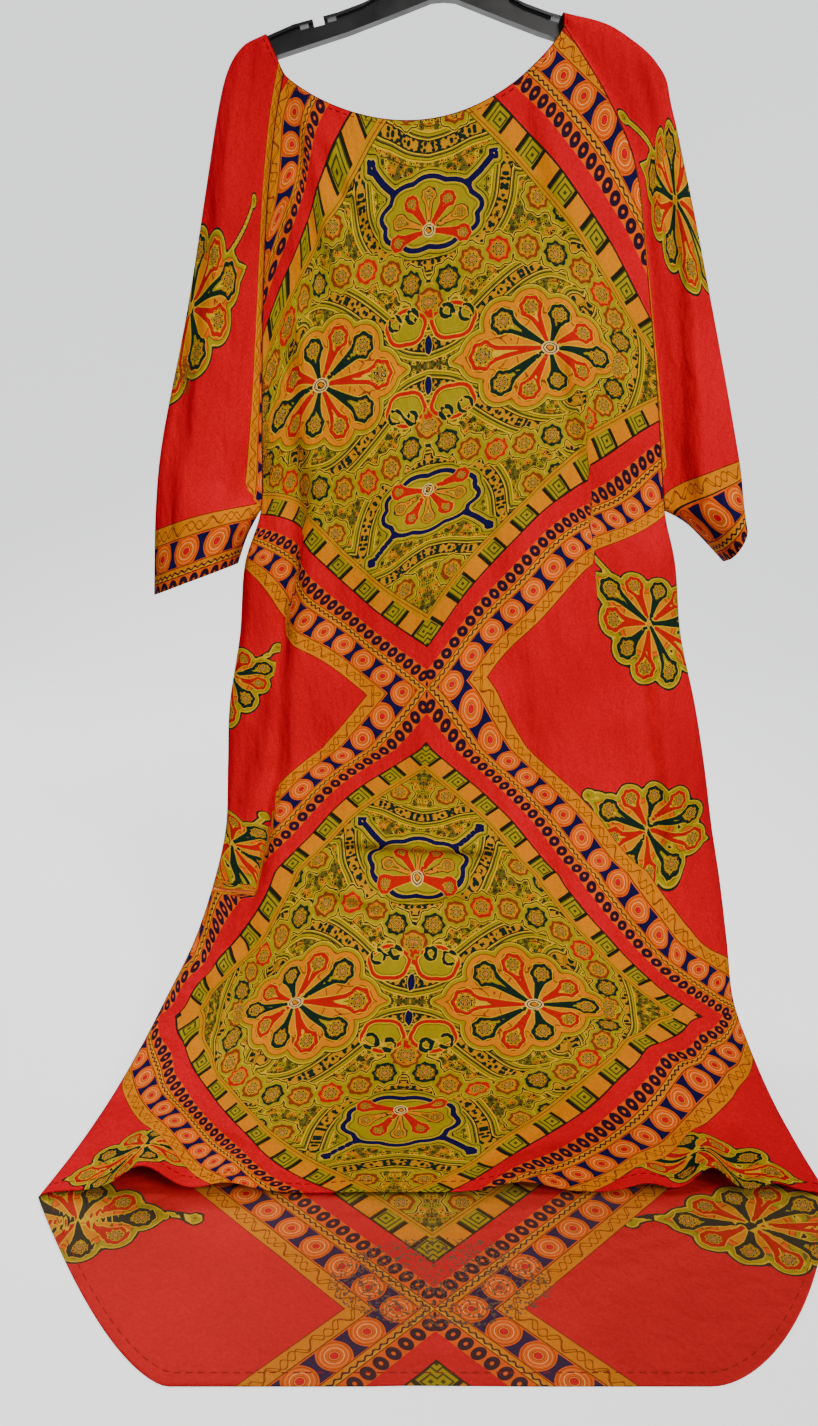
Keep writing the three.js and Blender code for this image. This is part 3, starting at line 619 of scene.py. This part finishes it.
def front_print(points, at, drop):
    """Print places of the front cloth."""
    level = SHOULDER_Z - points[..., 2]
    t = smooth(9, 11, at)
    y = level * (1 - t) + drop * t
    axis_x = np.interp(y[:, len(y[0]) // 2], AXIS_LEVELS, AXIS_X)
    X = row_length(points, axis_x)
    half = np.where(X > 0, X.max(axis=1, keepdims=True), -X.min(axis=1, keepdims=True))
    half = np.maximum(half, 130)
    droop = SIDE_DROOP * np.clip((np.abs(X) - 110) / (half - 110), 0, 1) ** 2
    droop = droop * smooth(60, 180, y) * (1 - smooth(480, 600, y))
    low = smooth(850, 1000, y)
    left = np.where(X < 0, -X, 0)
    X = X - left * LEFT_STRETCH * (1 - smooth(480, 620, y))
    X = X - low * (0.06 * left + 0.3 * np.maximum(0, left - 120))
    X = X + dart_shift(points, drop, LEFT_DART, -1) + dart_shift(points, drop, RIGHT_DART, 1)
    X = X + dart_shift(points, drop, LEFT_TUCK, -1)
    droop = droop + low * HEM_DROOP * np.clip(np.abs(X) / 280, 0, 1.2) ** 2
    Y = y + np.interp(y, OFFSET_LEVELS, OFFSET_Y) + np.interp(y, TILT_LEVELS, TILT) * X - droop
    X = X - ARMHOLE_SHIFT * smooth(60, 140, Y) * smooth(118, 165, -X) * (1 - smooth(170, 300, Y))
    return X, Y + lie_shift(X, Y)


def back_print(points, at, drop):
    """Print places of the back cloth: its own block is BACK_RISE higher, and on the train, which
    lies flat, they are plain distances over the ground."""
    flat = smooth(14, 15.5, at)
    X = row_length(points, np.full(len(points), float(BACK_AXIS_X)))
    X = X * (1 - flat) + (points[..., 0] - BACK_AXIS_X) * flat
    over_ground = TRAIN_FROM - points[..., 1]
    Y = drop - BACK_RISE + BACK_RISE * (1 - smooth(0, UNDERARM_ROW, at))
    return X, Y * (1 - flat) + over_ground * flat


FRONT_FIELD = [
    ((268, 620), 30, 0.98, 1.0, [(214, 572), (196, 556)]),
    ((258, 836), 25, 0.96, 1.0, [(206, 800), (186, 797)]),
    ((-252, 664), 150, 0.9, 1.0, [(-210, 620), (-196, 604)]),
    ((-322, 888), 155, 0.95, 1.0, [(-262, 846), (-250, 836)]),
    ((-262, 1238), 172, 0.9, 0.8, [(-196, 1258), (-168, 1262)]),
    ((262, 1242), 8, 0.9, 0.8, [(214, 1254), (196, 1262)]),
]
BACK_FIELD = [
    ((262, 540), 30, 0.98, 1.0, [(228, 505), (212, 490)]),
    ((-262, 540), 150, 0.98, 1.0, [(-228, 505), (-212, 490)]),
    ((248, 790), 25, 0.96, 1.0, [(218, 780), (200, 768)]),
    ((-248, 790), 155, 0.96, 1.0, [(-218, 780), (-200, 768)]),
    ((262, 1310), 6, 0.95, 0.95, [(192, 1300), (164, 1306)]),
    ((-292, 1306), 174, 0.95, 0.95, [(-226, 1296), (-196, 1302)]),
    ((300, 1494), -20, 0.9, 1.0, [(262, 1516), (248, 1534)]),
    ((-258, 1494), 200, 0.9, 1.0, [(-224, 1516), (-208, 1534)]),
]


def spread(count, ease=0.25):
    """Even steps from -1 to 1, drawn a little towards the ends."""
    even = np.linspace(-1, 1, count)
    return even * (1 + ease * (1 - even ** 2))


def edge_distances(points):
    """Distances in mm along the cloth to its hem, and to its nearest side or, less than 0, to its
    top edge where that is nearer."""
    down = arc_lengths(points.swapaxes(0, 1)).T
    over = arc_lengths(points)
    side = np.minimum(over, over[:, -1:] - over)
    return np.minimum(down[-1:] - down, NO_MOTIF), np.where(down < side, -down, side)


front_across, front_at = np.meshgrid(spread(150), np.linspace(0, HEM_ROW, 322))
front_points, front_drop = body_sheet(True, front_across, front_at, FRONT_CREASES)
front = cloth_shell("front_cloth", front_points, -1, print_layers(
    *front_print(front_points, front_at, front_drop), FRONT_FIELD, edge_distances(front_points)))

back_across, back_at = np.meshgrid(spread(144), np.linspace(0, HEM_ROW, 336))
back_points, back_drop = body_sheet(False, back_across, back_at, BACK_CREASES)
back = cloth_shell("back_cloth", back_points, 1, print_layers(
    *back_print(back_points, back_at, back_drop), BACK_FIELD, edge_distances(back_points)))

LEFT_FIELD = [((150, 270), 22, 1.24, 1.24, [(72, 200), (40, 166)])]
RIGHT_FIELD = [((102, 167), 22, 1.15, 1.26, [(40, 112), (10, 86)])]
# The sleeves' border: the raglan seam's drop, then where the cuff starts in the border, how much
# of it a mm takes, and how far the cuff's part runs over the seam's.
SEAM_DROP, CUFF_PLACE, CUFF_SPREAD, CORNER_OVERLAP = 480, 243, 0.8, 20


def sleeve_cloth(name, is_left, field, creases, seam_places):
    """A sleeve. Its border runs down the raglan seam, then turns along the cuff; seam_places are
    the border's places at the seam's top and bottom."""
    around, at = np.meshgrid(np.linspace(0, 1, 120), np.linspace(0, SLEEVE_END_ROW, 170))
    points = sleeve_sheet(is_left, around, at)
    points[..., 1] += np.where(around < 0.5, -1, 1) * np.abs(np.sin(around * 2 * math.pi)) ** 0.7 \
        * crease_height(points[..., 0], -points[..., 2], creases)
    X = arc_lengths(points)
    from_seam = np.minimum(X, X[:, -1:] - X)
    Y = SHOULDER_Z - points[..., 2]
    cuff = Y.max(axis=0, keepdims=True) - Y
    p_seam = np.interp(Y, (0, SEAM_DROP), seam_places) + from_seam
    p_cuff = CUFF_PLACE + cuff * CUFF_SPREAD
    is_cuff = p_cuff < p_seam + CORNER_OVERLAP
    border = (np.where(is_cuff, p_cuff, p_seam), np.where(is_cuff, X, Y))
    layers = print_layers(from_seam, Y, field, edge_distances(points), border)
    return cloth_shell(name, points, 1 if is_left else -1, layers), points


left_sleeve, left_points = sleeve_cloth("left_sleeve_cloth", True, LEFT_FIELD, LEFT_CREASES,
                                         (287, 274))
right_sleeve, right_points = sleeve_cloth("right_sleeve_cloth", False, RIGHT_FIELD,
                                           RIGHT_CREASES, (300, 290))


# ---- Materials
def blank_material(name):
    material = bpy.data.materials.new(name)
    material.use_nodes = True
    material.node_tree.nodes.clear()
    return material


def add(material, kind, links=None, ramp=None, **settings):
    """Adds one node with its settings; links are its inputs, each a value or another node's
    output, and ramp is a list of (position, sRGB hex or CLEAR)."""
    made = material.node_tree.nodes.new(kind)
    for key, value in settings.items():
        setattr(made, key, value)
    for key, value in (links or {}).items():
        if isinstance(value, bpy.types.NodeSocket):
            material.node_tree.links.new(value, made.inputs[key])
        else:
            made.inputs[key].default_value = value
    if ramp:
        stops = made.color_ramp.elements
        while len(stops) < len(ramp):
            stops.new(1.0)
        for stop, (place, colour) in zip(stops, ramp):
            stop.position = place
            stop.color = linear(colour) if colour else (0, 0, 0, 0)
        made.color_ramp.interpolation = "CONSTANT"
    return made


CLEAR = None


def bands(*edges, low=-NO_MOTIF, high=NO_MOTIF):
    """Ramp stops over low to high mm: each (where it starts, colour), with CLEAR where what lies
    under shows."""
    stops = [(0.0, CLEAR)] if edges[0][0] > low else []
    return stops + [((start - low) / (high - low), colour) for start, colour in edges]


SCARLET, ORANGE, AMBER, GOLD, YELLOW = "#D8001E", "#EC5E00", "#E08400", "#C88A0C", "#DEB414"
LIME, OLIVE, MOSS, RUST = "#A69414", "#6A6022", "#434418", "#8A3C10"
DARK_GREEN, INK, NAVY, OVAL_DARK = "#182C22", "#222216", "#171344", "#2A182C"
CREAM, PALE_ORANGE, MOTIF_RED, DEEP_RED = "#F2CC78", "#F49A3C", "#C41A12", "#6B1F18"

# Sums on the print places, each a name and its arithmetic in reverse Polish order.
PRINT_SUMS = [
    # Places in the block's quarter, then p out across the border and q along it.
    ("ax", "X abs"),
    ("ay", f"Y {BLOCK_MIDDLE} - {BLOCK_HALF} pingpong"),
    ("p", f"ax ay + {DIAGONAL} / 1 sleeve - * given_p +"),
    ("q", f"ax ay - {DIAGONAL} / 1 sleeve - * given_q +"),
    ("p_place", "p 150 - 200 /"),
    # Masks.
    ("outside_block", "p 199 more"),
    ("outside_border", "p 299 more"),
    ("in_winding", "p 252.6 more p 256.2 less *"),
    ("in_ribbon", "ribbon 5.4 less"),
    ("lotus_room", "p 193 less"),
    ("palmette_room", "p 193 less outside_border max"),
    # Rings of eight petals in every head.
    ("bloom_place", "head_x square head_y square + root head_x head_y angle 8 * cos 0.16 * +"),
    ("in_bloom", "inside -2.8 less palmette_room *"),
    # The check squares, every other one with a key of lines.
    ("check", "q 48 / fract"),
    ("key", "q 14 - 48 / fract 0.5 - 48 * abs p 208 - abs max 4.2 / fract 0.36 less "
            "check 0.5 more * check 0.92 less *"),
    # Dark ovals with a light heart, 12.2 mm apart.
    ("oval", "p 243.4 - 6.6 / square q 12.2 / fract 0.5 - 12.2 * 5.1 / square + root"),
    ("ovals", "oval 1 less oval 0.28 more * p 236.8 more * p 250.2 less *"),
    # The winding line beside them.
    ("winding", "p 254.4 - q 1.15 / sin 1.1 * - abs 0.85 less"),
    # Rings 31 mm apart with a waisted spool between each two.
    ("step", "q 232.6 + 31 / fract 31 *"),
    ("across", "p 271.2 -"),
    ("radius", "across square step 15.5 - abs 15.5 - square + root"),
    ("in_rings", "p 259.4 more p 283 less *"),
    ("spool", "step 15.5 - abs across 11 / square 4.6 * 2.4 + less across abs 11.3 less * "
              "in_rings *"),
    ("radius_place", "radius 16 / 1 in_rings - +"),
    # Scrolls in the outer strip.
    ("scrolls", "p 291 - q 2.1 / sin 3.2 * - abs 0.6 less "
                "p 291 - q 3.3 / sin 4.6 * + abs 0.6 less max p 284.4 more * p 298 less *"),
    # Sewing: hem and neck stitches, and the sunk line of a seam; that line and the top edge are
    # also painted deep red as painted shade.
    ("stitches", "hem 11 - abs 0.55 less side_or_top 5 + abs 0.5 less max "
                 "X 1.3 / sin -0.2 more *"),
    ("seam_line", "side_or_top abs 0.9 less"),
    ("fold_height", "hem 11 less 0.6 * stitches 0.5 * - seam_line 1.2 * -"),
    # A dried stain low on one sleeve.
    ("stain", "place_x 0.272 + 0.011 / square place_z 0.45 + 0.03 / square + root"),
    ("spotted", "fine_noise 0.5 more"),
    # Ground-in dust where the train's borders cross.
    ("dust", "place_x 0.01 + 0.09 / square place_y 0.5 + 0.05 / square + root "
             "place_z 1.1 + 0 more +"),
    ("sparse", "fine_noise 0.56 more"),
    ("fans", "fan_gold fan_dark min fan_red min"),
    # Thread.
    ("thread", "X 1.5 / sin Y 1.5 / sin *"),
]
OPERATIONS = {"+": ("ADD", 2), "-": ("SUBTRACT", 2), "*": ("MULTIPLY", 2), "/": ("DIVIDE", 2),
              "abs": ("ABSOLUTE", 1), "sin": ("SINE", 1), "cos": ("COSINE", 1),
              "angle": ("ARCTAN2", 2), "fract": ("FRACT", 1),
              "max": ("MAXIMUM", 2), "min": ("MINIMUM", 2), "less": ("LESS_THAN", 2),
              "more": ("GREATER_THAN", 2), "pingpong": ("PINGPONG", 2), "root": ("SQRT", 1),
              "square": ("MULTIPLY", 1)}

def fan_bands(inside, line):
    """A fan's inside and the line round it."""
    return bands((-40, inside), (-3.6, line), (-0.4, CLEAR))


# The print's colours from the lowest layer up: the sum or field read, its ramp, and the mask that
# it is kept to, if any.
BLOCK_LAYERS = [
    ("speck", [(0.0, INK), (0.2, CLEAR), (0.42, MOSS), (0.5, CLEAR)]),
    ("ribbon", bands((-40, GOLD), (5.0, INK), (6.0, YELLOW), (7.4, OLIVE), (8.6, INK), (9.4, LIME),
                     (11.6, MOSS), (12.4, YELLOW), (13.8, CLEAR), (18.0, MOSS), (19.0, CLEAR))),
    ("sprig", [(0.0, DARK_GREEN), (0.38, CLEAR)], "in_ribbon"),
    ("fans", bands((-40, LIME), (3.0, YELLOW), (4.0, DARK_GREEN), (5.3, YELLOW), (6.2, CLEAR))),
    ("fan_gold", fan_bands(AMBER, RUST)),
    ("fan_dark", fan_bands(OLIVE, DARK_GREEN)),
    ("fan_red", fan_bands(ORANGE, MOTIF_RED)),
    ("cartouche", bands((-40, MOTIF_RED), (-20, LIME), (-6.4, OLIVE), (-5.4, YELLOW),
                        (-4.2, MOTIF_RED), (-0.6, YELLOW), (0.8, CLEAR))),
    ("scroll", bands((-40, DARK_GREEN), (0.4, YELLOW), (1.2, CLEAR))),
    ("leaf", bands((-40, NAVY), (0.5, YELLOW), (1.6, CLEAR))),
    ("lotus", bands((-40, LIME), (-7.6, OLIVE), (-6.6, LIME), (-5.4, YELLOW), (-4.4, NAVY),
                    (0.6, YELLOW), (1.5, LIME), (3.6, INK), (4.4, LIME), (6.4, CLEAR))),
    ("lotus_gold", bands((-40, AMBER), (-5.0, YELLOW), (-3.4, OLIVE), (-2.4, AMBER),
                         (-0.6, DARK_GREEN), (0.5, CLEAR))),
    ("lotus_red", bands((-40, NAVY), (-5.6, AMBER), (-4.0, MOTIF_RED), (0.4, YELLOW),
                        (1.2, CLEAR))),
    ("ground", bands((-40, AMBER), (-6.4, RUST), (-5.6, AMBER), (-0.6, RUST), (0.4, LIME),
                     (3.4, YELLOW), (4.4, DARK_GREEN), (5.4, CLEAR))),
    ("check", [(0.0, AMBER), (0.42, INK), (0.5, LIME), (0.92, INK)], "outside_block"),
    ("key", [(0.0, CLEAR), (0.5, MOSS)], "outside_block"),
    ("p_place", bands((191.5, MOSS), (192.5, GOLD), (195, RUST), (196, GOLD), (199, CLEAR),
                      (217, INK), (218, SCARLET), (236.6, ORANGE), (250.4, DEEP_RED),
                      (251.2, AMBER), (251.8, YELLOW), (252.8, AMBER), (258.2, DEEP_RED),
                      (259.0, ORANGE), (283.2, INK), (284.2, AMBER), (298.2, DEEP_RED),
                      (299.2, SCARLET), low=150, high=350)),
    ("ovals", [(0.0, CLEAR), (0.5, OVAL_DARK)]),
    ("winding", [(0.0, CLEAR), (0.5, OVAL_DARK)], "in_winding"),
    ("spool", [(0.0, CLEAR), (0.5, NAVY)]),
    ("radius_place", [(0.0, SCARLET), (0.2, PALE_ORANGE), (0.24, RUST), (0.27, ORANGE),
                      (0.42, CREAM), (0.455, ORANGE), (0.6, PALE_ORANGE), (0.635, ORANGE),
                      (0.72, RUST), (0.75, CLEAR)]),
    ("scrolls", [(0.0, CLEAR), (0.5, RUST)]),
    ("field", bands((-40, AMBER), (-11.0, RUST), (-10.2, ORANGE), (-6.4, OLIVE), (-5.4, LIME),
                    (-2.6, YELLOW), (-1.4, DARK_GREEN), (0.6, CLEAR)), "outside_border"),
    ("red", bands((-40, LIME), (-7.0, OLIVE), (-6.0, YELLOW), (-3.8, MOTIF_RED), (0.5, YELLOW),
                  (1.3, CLEAR)), "palmette_room"),
    ("dark", bands((-40, OLIVE), (-7.0, YELLOW), (-5.6, LIME), (-4.0, DARK_GREEN), (0.6, YELLOW),
                   (1.4, CLEAR)), "palmette_room"),
    ("bloom_place", [(0.0, AMBER), (0.12, INK), (0.2, CREAM), (0.25, INK), (0.4, YELLOW),
                     (0.5, INK), (0.56, AMBER), (0.66, CLEAR)], "in_bloom"),
    ("ring", bands((-40, AMBER), (2.6, INK), (3.6, CREAM), (5.0, INK), (5.8, CREAM), (7.0, CLEAR)),
     "lotus_room"),
    # Painted shade: a deep red line along each seam and top edge, where the cloth sinks.
    ("seam_line", [(0.0, CLEAR), (0.5, DEEP_RED)]),
    ("stitches", [(0.0, CLEAR), (0.5, "#8A1010")]),
    ("stain", [(0.0, "#8A4420"), (0.62, CLEAR)], "spotted"),
    ("dust", [(0.0, "#5E4A3A"), (0.95, CLEAR)], "sparse"),
]
FIELD_NAMES = {"petals": ("red", "dark", "ground"), "lotus": ("lotus", "lotus_red", "lotus_gold"),
               "cartouche": ("cartouche", "leaf", "scroll"), "ribbon": ("ribbon", "along", "ring"),
               "fans": ("fan_gold", "fan_dark", "fan_red"),
               "bloom": ("head_x", "head_y", "inside"), "field": ("field", "hem", "side_or_top"),
               "print": ("X", "Y", "wrong_side"), "border": ("given_p", "given_q", "sleeve")}
SMALL_FLOWERS = [(0.0, OLIVE), (0.2, LIME), (0.38, GOLD), (0.54, MOSS), (0.62, YELLOW),
                 (0.74, OLIVE), (0.86, AMBER)]
WRONG_SIDE = "#B98468"
# The small flowers' and leaf sprigs' spacing, in mm.
FLOWER_SIZE, SPRIG_SIZE = 4.6, 5.2


def printed_cotton(name):
    """Plain-woven cotton, screen printed, worn soft. The eye gets a matt face with flat dyed
    colour, a paler wrong side and a faint thread grain; the thread is drawn at three times its
    real spacing so that it shows."""
    m = blank_material(name)
    sockets = {}
    for attribute, names in FIELD_NAMES.items():
        read = add(m, "ShaderNodeAttribute", attribute_name=attribute)
        split = add(m, "ShaderNodeSeparateXYZ", {0: read.outputs["Vector"]})
        sockets.update(zip(names, split.outputs))
    place = add(m, "ShaderNodeTexCoord").outputs["Object"]
    split = add(m, "ShaderNodeSeparateXYZ", {0: place})
    hung = add(m, "ShaderNodeMapping", {"Vector": place, "Scale": (40, 40, 13)}).outputs[0]
    crumple = add(m, "ShaderNodeTexNoise", {"Vector": hung, "Scale": 1.0, "Detail": 4.0})
    fine = add(m, "ShaderNodeTexNoise", {"Vector": place, "Scale": 430.0, "Detail": 2.0})
    sockets.update(place_x=split.outputs[0], place_y=split.outputs[1], place_z=split.outputs[2],
                   fine_noise=fine.outputs[0])
    for sum_name, text in PRINT_SUMS:
        stack = []
        for word in text.split():
            if word in OPERATIONS:
                operation, count = OPERATIONS[word]
                taken = [stack.pop() for _ in range(count)][::-1]
                if word == "square":
                    taken = taken * 2
                stack.append(add(m, "ShaderNodeMath", dict(enumerate(taken)),
                                 operation=operation).outputs[0])
            else:
                stack.append(sockets[word] if word in sockets else float(word))
        sockets[sum_name] = stack[0]
    quarter = add(m, "ShaderNodeCombineXYZ", {0: sockets["ax"], 1: sockets["ay"]}).outputs[0]
    flowers = add(m, "ShaderNodeTexVoronoi", {"Vector": quarter, "Scale": 1 / FLOWER_SIZE},
                  voronoi_dimensions="2D")
    sockets["speck"] = flowers.outputs["Distance"]
    hue = add(m, "ShaderNodeSeparateColor", {0: flowers.outputs["Color"]}).outputs[0]
    run = add(m, "ShaderNodeCombineXYZ", {0: sockets["along"], 1: sockets["ribbon"]}).outputs[0]
    sockets["sprig"] = add(m, "ShaderNodeTexVoronoi", {"Vector": run, "Scale": 1 / SPRIG_SIZE},
                           voronoi_dimensions="2D").outputs["Distance"]
    ground = add(m, "ShaderNodeValToRGB", {0: hue}, ramp=SMALL_FLOWERS)
    colour = ground.outputs[0]
    millimetres = {"fans", *(n for names in FIELD_NAMES.values() for n in names)}
    millimetres -= {"head_x", "head_y"}
    for read, stops, *mask in BLOCK_LAYERS:
        at = sockets[read]
        if read in millimetres:
            at = add(m, "ShaderNodeMapRange", {0: at, 1: -NO_MOTIF, 2: NO_MOTIF}).outputs[0]
        shade = add(m, "ShaderNodeValToRGB", {0: at}, ramp=stops)
        cover = shade.outputs["Alpha"]
        if mask:
            cover = add(m, "ShaderNodeMath", {0: cover, 1: sockets[mask[0]]},
                        operation="MULTIPLY").outputs[0]
        colour = add(m, "ShaderNodeMix", {0: cover, 6: colour, 7: shade.outputs["Color"]},
                     data_type="RGBA").outputs[2]
    # Dye unevenness, a paler wrong side and the thread.
    uneven = add(m, "ShaderNodeTexNoise", {"Vector": place, "Scale": 7.0, "Detail": 4.0})
    value = add(m, "ShaderNodeMapRange", {0: uneven.outputs[0], 1: 0.3, 2: 0.7, 3: 0.88, 4: 1.06})
    grain = add(m, "ShaderNodeMapRange",
                {0: sockets["fine_noise"], 1: 0.3, 2: 0.7, 3: 0.92, 4: 1.08})
    value = add(m, "ShaderNodeMath", {0: value.outputs[0], 1: grain.outputs[0]},
                operation="MULTIPLY")
    tinted = add(m, "ShaderNodeHueSaturation", {"Color": colour, "Value": value.outputs[0]})
    colour = tinted.outputs[0]
    paler = add(m, "ShaderNodeMath", {0: sockets["wrong_side"], 1: 0.1}, operation="MULTIPLY")
    colour = add(m, "ShaderNodeMix", {0: paler.outputs[0], 6: colour, 7: linear(WRONG_SIDE)},
                 data_type="RGBA").outputs[2]
    weave = add(m, "ShaderNodeBump", {"Height": sockets["thread"], "Strength": 0.1,
                                      "Distance": 0.0005})
    sewn = add(m, "ShaderNodeBump", {"Height": sockets["fold_height"], "Strength": 0.6,
                                     "Distance": 0.001, "Normal": weave.outputs[0]})
    worn = add(m, "ShaderNodeBump", {"Height": crumple.outputs[0], "Strength": 0.7,
                                     "Distance": 0.012, "Normal": sewn.outputs[0]})
    cotton = add(m, "ShaderNodeBsdfPrincipled", {
        "Base Color": colour, "Roughness": 0.86, "Specular IOR Level": 0.02,
        "Normal": worn.outputs[0]})
    add(m, "ShaderNodeOutputMaterial", {0: cotton.outputs[0]})
    return m


def plastic_black(name):
    """Moulded polypropylene, black. The eye gets a satin face with a soft broken highlight."""
    m = blank_material(name)
    place = add(m, "ShaderNodeTexCoord").outputs["Object"]
    grain = add(m, "ShaderNodeTexNoise", {"Vector": place, "Scale": 900.0, "Detail": 3.0})
    handled = add(m, "ShaderNodeTexNoise", {"Vector": place, "Scale": 35.0, "Detail": 4.0})
    rough = add(m, "ShaderNodeMapRange", {0: handled.outputs[0], 1: 0.3, 2: 0.7, 3: 0.3, 4: 0.46})
    bump = add(m, "ShaderNodeBump",
               {"Height": grain.outputs[0], "Strength": 0.12, "Distance": 0.0003})
    shade = add(m, "ShaderNodeValToRGB", {0: handled.outputs[0]},
                ramp=[(0.3, "#0A0A0B"), (0.75, "#131416")])
    shade.color_ramp.interpolation = "LINEAR"
    body = add(m, "ShaderNodeBsdfPrincipled", {"Base Color": shade.outputs[0], "IOR": 1.49,
                                               "Roughness": rough.outputs[0],
                                               "Normal": bump.outputs[0]})
    add(m, "ShaderNodeOutputMaterial", {0: body.outputs[0]})
    return m


def plated_wire(name):
    """Steel wire, drawn and zinc plated. The eye gets a grey mirror blurred along the wire."""
    m = blank_material(name)
    place = add(m, "ShaderNodeTexCoord").outputs["Object"]
    drawn = add(m, "ShaderNodeTexNoise", {"Vector": place, "Scale": 420.0, "Detail": 4.0})
    rough = add(m, "ShaderNodeMapRange", {0: drawn.outputs[0], 1: 0.3, 2: 0.7, 3: 0.18, 4: 0.34})
    shade = add(m, "ShaderNodeValToRGB", {0: drawn.outputs[0]},
                ramp=[(0.3, "#B9BBBD"), (0.7, "#D3D5D6")])
    shade.color_ramp.interpolation = "LINEAR"
    steel = add(m, "ShaderNodeBsdfPrincipled", {"Base Color": shade.outputs[0], "Metallic": 1.0,
                                                "Roughness": rough.outputs[0]})
    add(m, "ShaderNodeOutputMaterial", {0: steel.outputs[0]})
    return m


def studio_paper(name, code):
    """Pale matt paper, curved up behind the piece, with a glow that brings it near white."""
    m = blank_material(name)
    place = add(m, "ShaderNodeTexCoord").outputs["Object"]
    mottle = add(m, "ShaderNodeTexNoise", {"Vector": place, "Scale": 2.0, "Detail": 3.0})
    value = add(m, "ShaderNodeMapRange", {0: mottle.outputs[0], 1: 0.3, 2: 0.7, 3: 0.98, 4: 1.02})
    shade = add(m, "ShaderNodeHueSaturation", {"Color": linear(code), "Value": value.outputs[0]})
    paper = add(m, "ShaderNodeBsdfPrincipled", {
        "Base Color": shade.outputs[0], "Roughness": 0.9, "Emission Color": linear("#F4F6F8"),
        "Emission Strength": 1.3})
    add(m, "ShaderNodeOutputMaterial", {0: paper.outputs[0]})
    return m


cotton = printed_cotton("printed_cotton")
for piece in (front, back, left_sleeve, right_sleeve):
    piece.data.materials.append(cotton)
for node, made in (("hanger_body", plastic_black("moulded_polypropylene")),
                   ("hanger_hook", plated_wire("zinc_plated_wire"))):
    for material_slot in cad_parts[node].material_slots:
        material_slot.material = made

# ---- What each piece replaces, rides on and was cut from
CUT = [
    (front, "front_panel", "front_cloth", (0.66, 1.42), front_points, ["hanger_body"]),
    (back, "back_panel", "back_cloth", (0.68, 1.62), back_points, ["hanger_body", "floor"]),
    (left_sleeve, "sleeve_left", "left_sleeve_cloth", (0.42, 0.72), left_points, ["hanger_body"]),
    (right_sleeve, "sleeve_right", "right_sleeve_cloth", (0.42, 0.72), right_points,
     ["hanger_body"]),
]


# ---- Stage and light
def wide_sheet(name, profile, half_width):
    """A strip carried along a profile of (y, z) places, in metres."""
    path = np.array(profile)
    left = np.column_stack([np.full(len(path), -half_width), path])
    right = np.column_stack([np.full(len(path), half_width), path])
    corners = np.concatenate([left, right])
    n = len(path)
    faces = [(i, i + n, i + n + 1, i + 1) for i in range(n - 1)]
    mesh = bpy.data.meshes.new(name)
    mesh.from_pydata(corners.tolist(), [], faces)
    mesh.polygons.foreach_set("use_smooth", np.ones(len(faces), bool))
    made = bpy.data.objects.new(name, mesh)
    bpy.context.scene.collection.objects.link(made)
    return made


turn = np.linspace(0, math.pi / 2, 20)
floor_z = GROUND_Z * MM
cove = [(-4.0, floor_z), (-1.5, floor_z), (-0.5, floor_z), (1.2, floor_z)] + \
    [(2.0 + 0.9 * math.sin(a), floor_z + 0.9 - 0.9 * math.cos(a)) for a in turn] + [(2.9, 3.0)]
floor = wide_sheet("floor", cove, 4.0)
floor.data.materials.append(studio_paper("studio_paper", "#E4E3E1"))
floor.visible_diffuse = False  # its glow would flatten the cloth from below

for piece, node, finish, flat, points, rests in CUT:
    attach(piece, "root")
    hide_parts(node)


def lamp(name, place, aim, size, power, colour="#FFFFFF", spread=180):
    data = bpy.data.lights.new(name, "AREA")
    data.spread = math.radians(spread)
    data.shape = "RECTANGLE"
    data.size, data.size_y = size
    data.energy = power
    data.color = linear(colour)[:3]
    made = bpy.data.objects.new(name, data)
    made.location = place
    direction = np.array(place) - np.array(aim)
    made.rotation_euler = (math.acos(direction[2] / np.linalg.norm(direction)), 0,
                           math.atan2(direction[0], -direction[1]))
    bpy.context.scene.collection.objects.link(made)
    return made


lamp("key", (1.2, -2.3, 0.8), (0.02, 0, -0.62), (0.7, 0.7), 4.3, "#FFFAF4", spread=42)
lamp("train", (0.1, -0.9, 1.2), (0.0, -0.3, -1.15), (0.8, 0.8), 1.5, "#FFFAF4", spread=50)
lamp("fill", (-1.8, -2.2, 0.0), (0, 0, -0.6), (1.6, 1.6), 10)
lamp("back", (-1.0, 1.7, 0.9), (0, 0, -0.6), (1.2, 1.2), 48)
world = bpy.data.worlds.new("pale_room")
bpy.context.scene.world = world
world.use_nodes = True
world.node_tree.nodes["Background"].inputs[0].default_value = linear("#DADCDF")
world.node_tree.nodes["Background"].inputs[1].default_value = 0.34
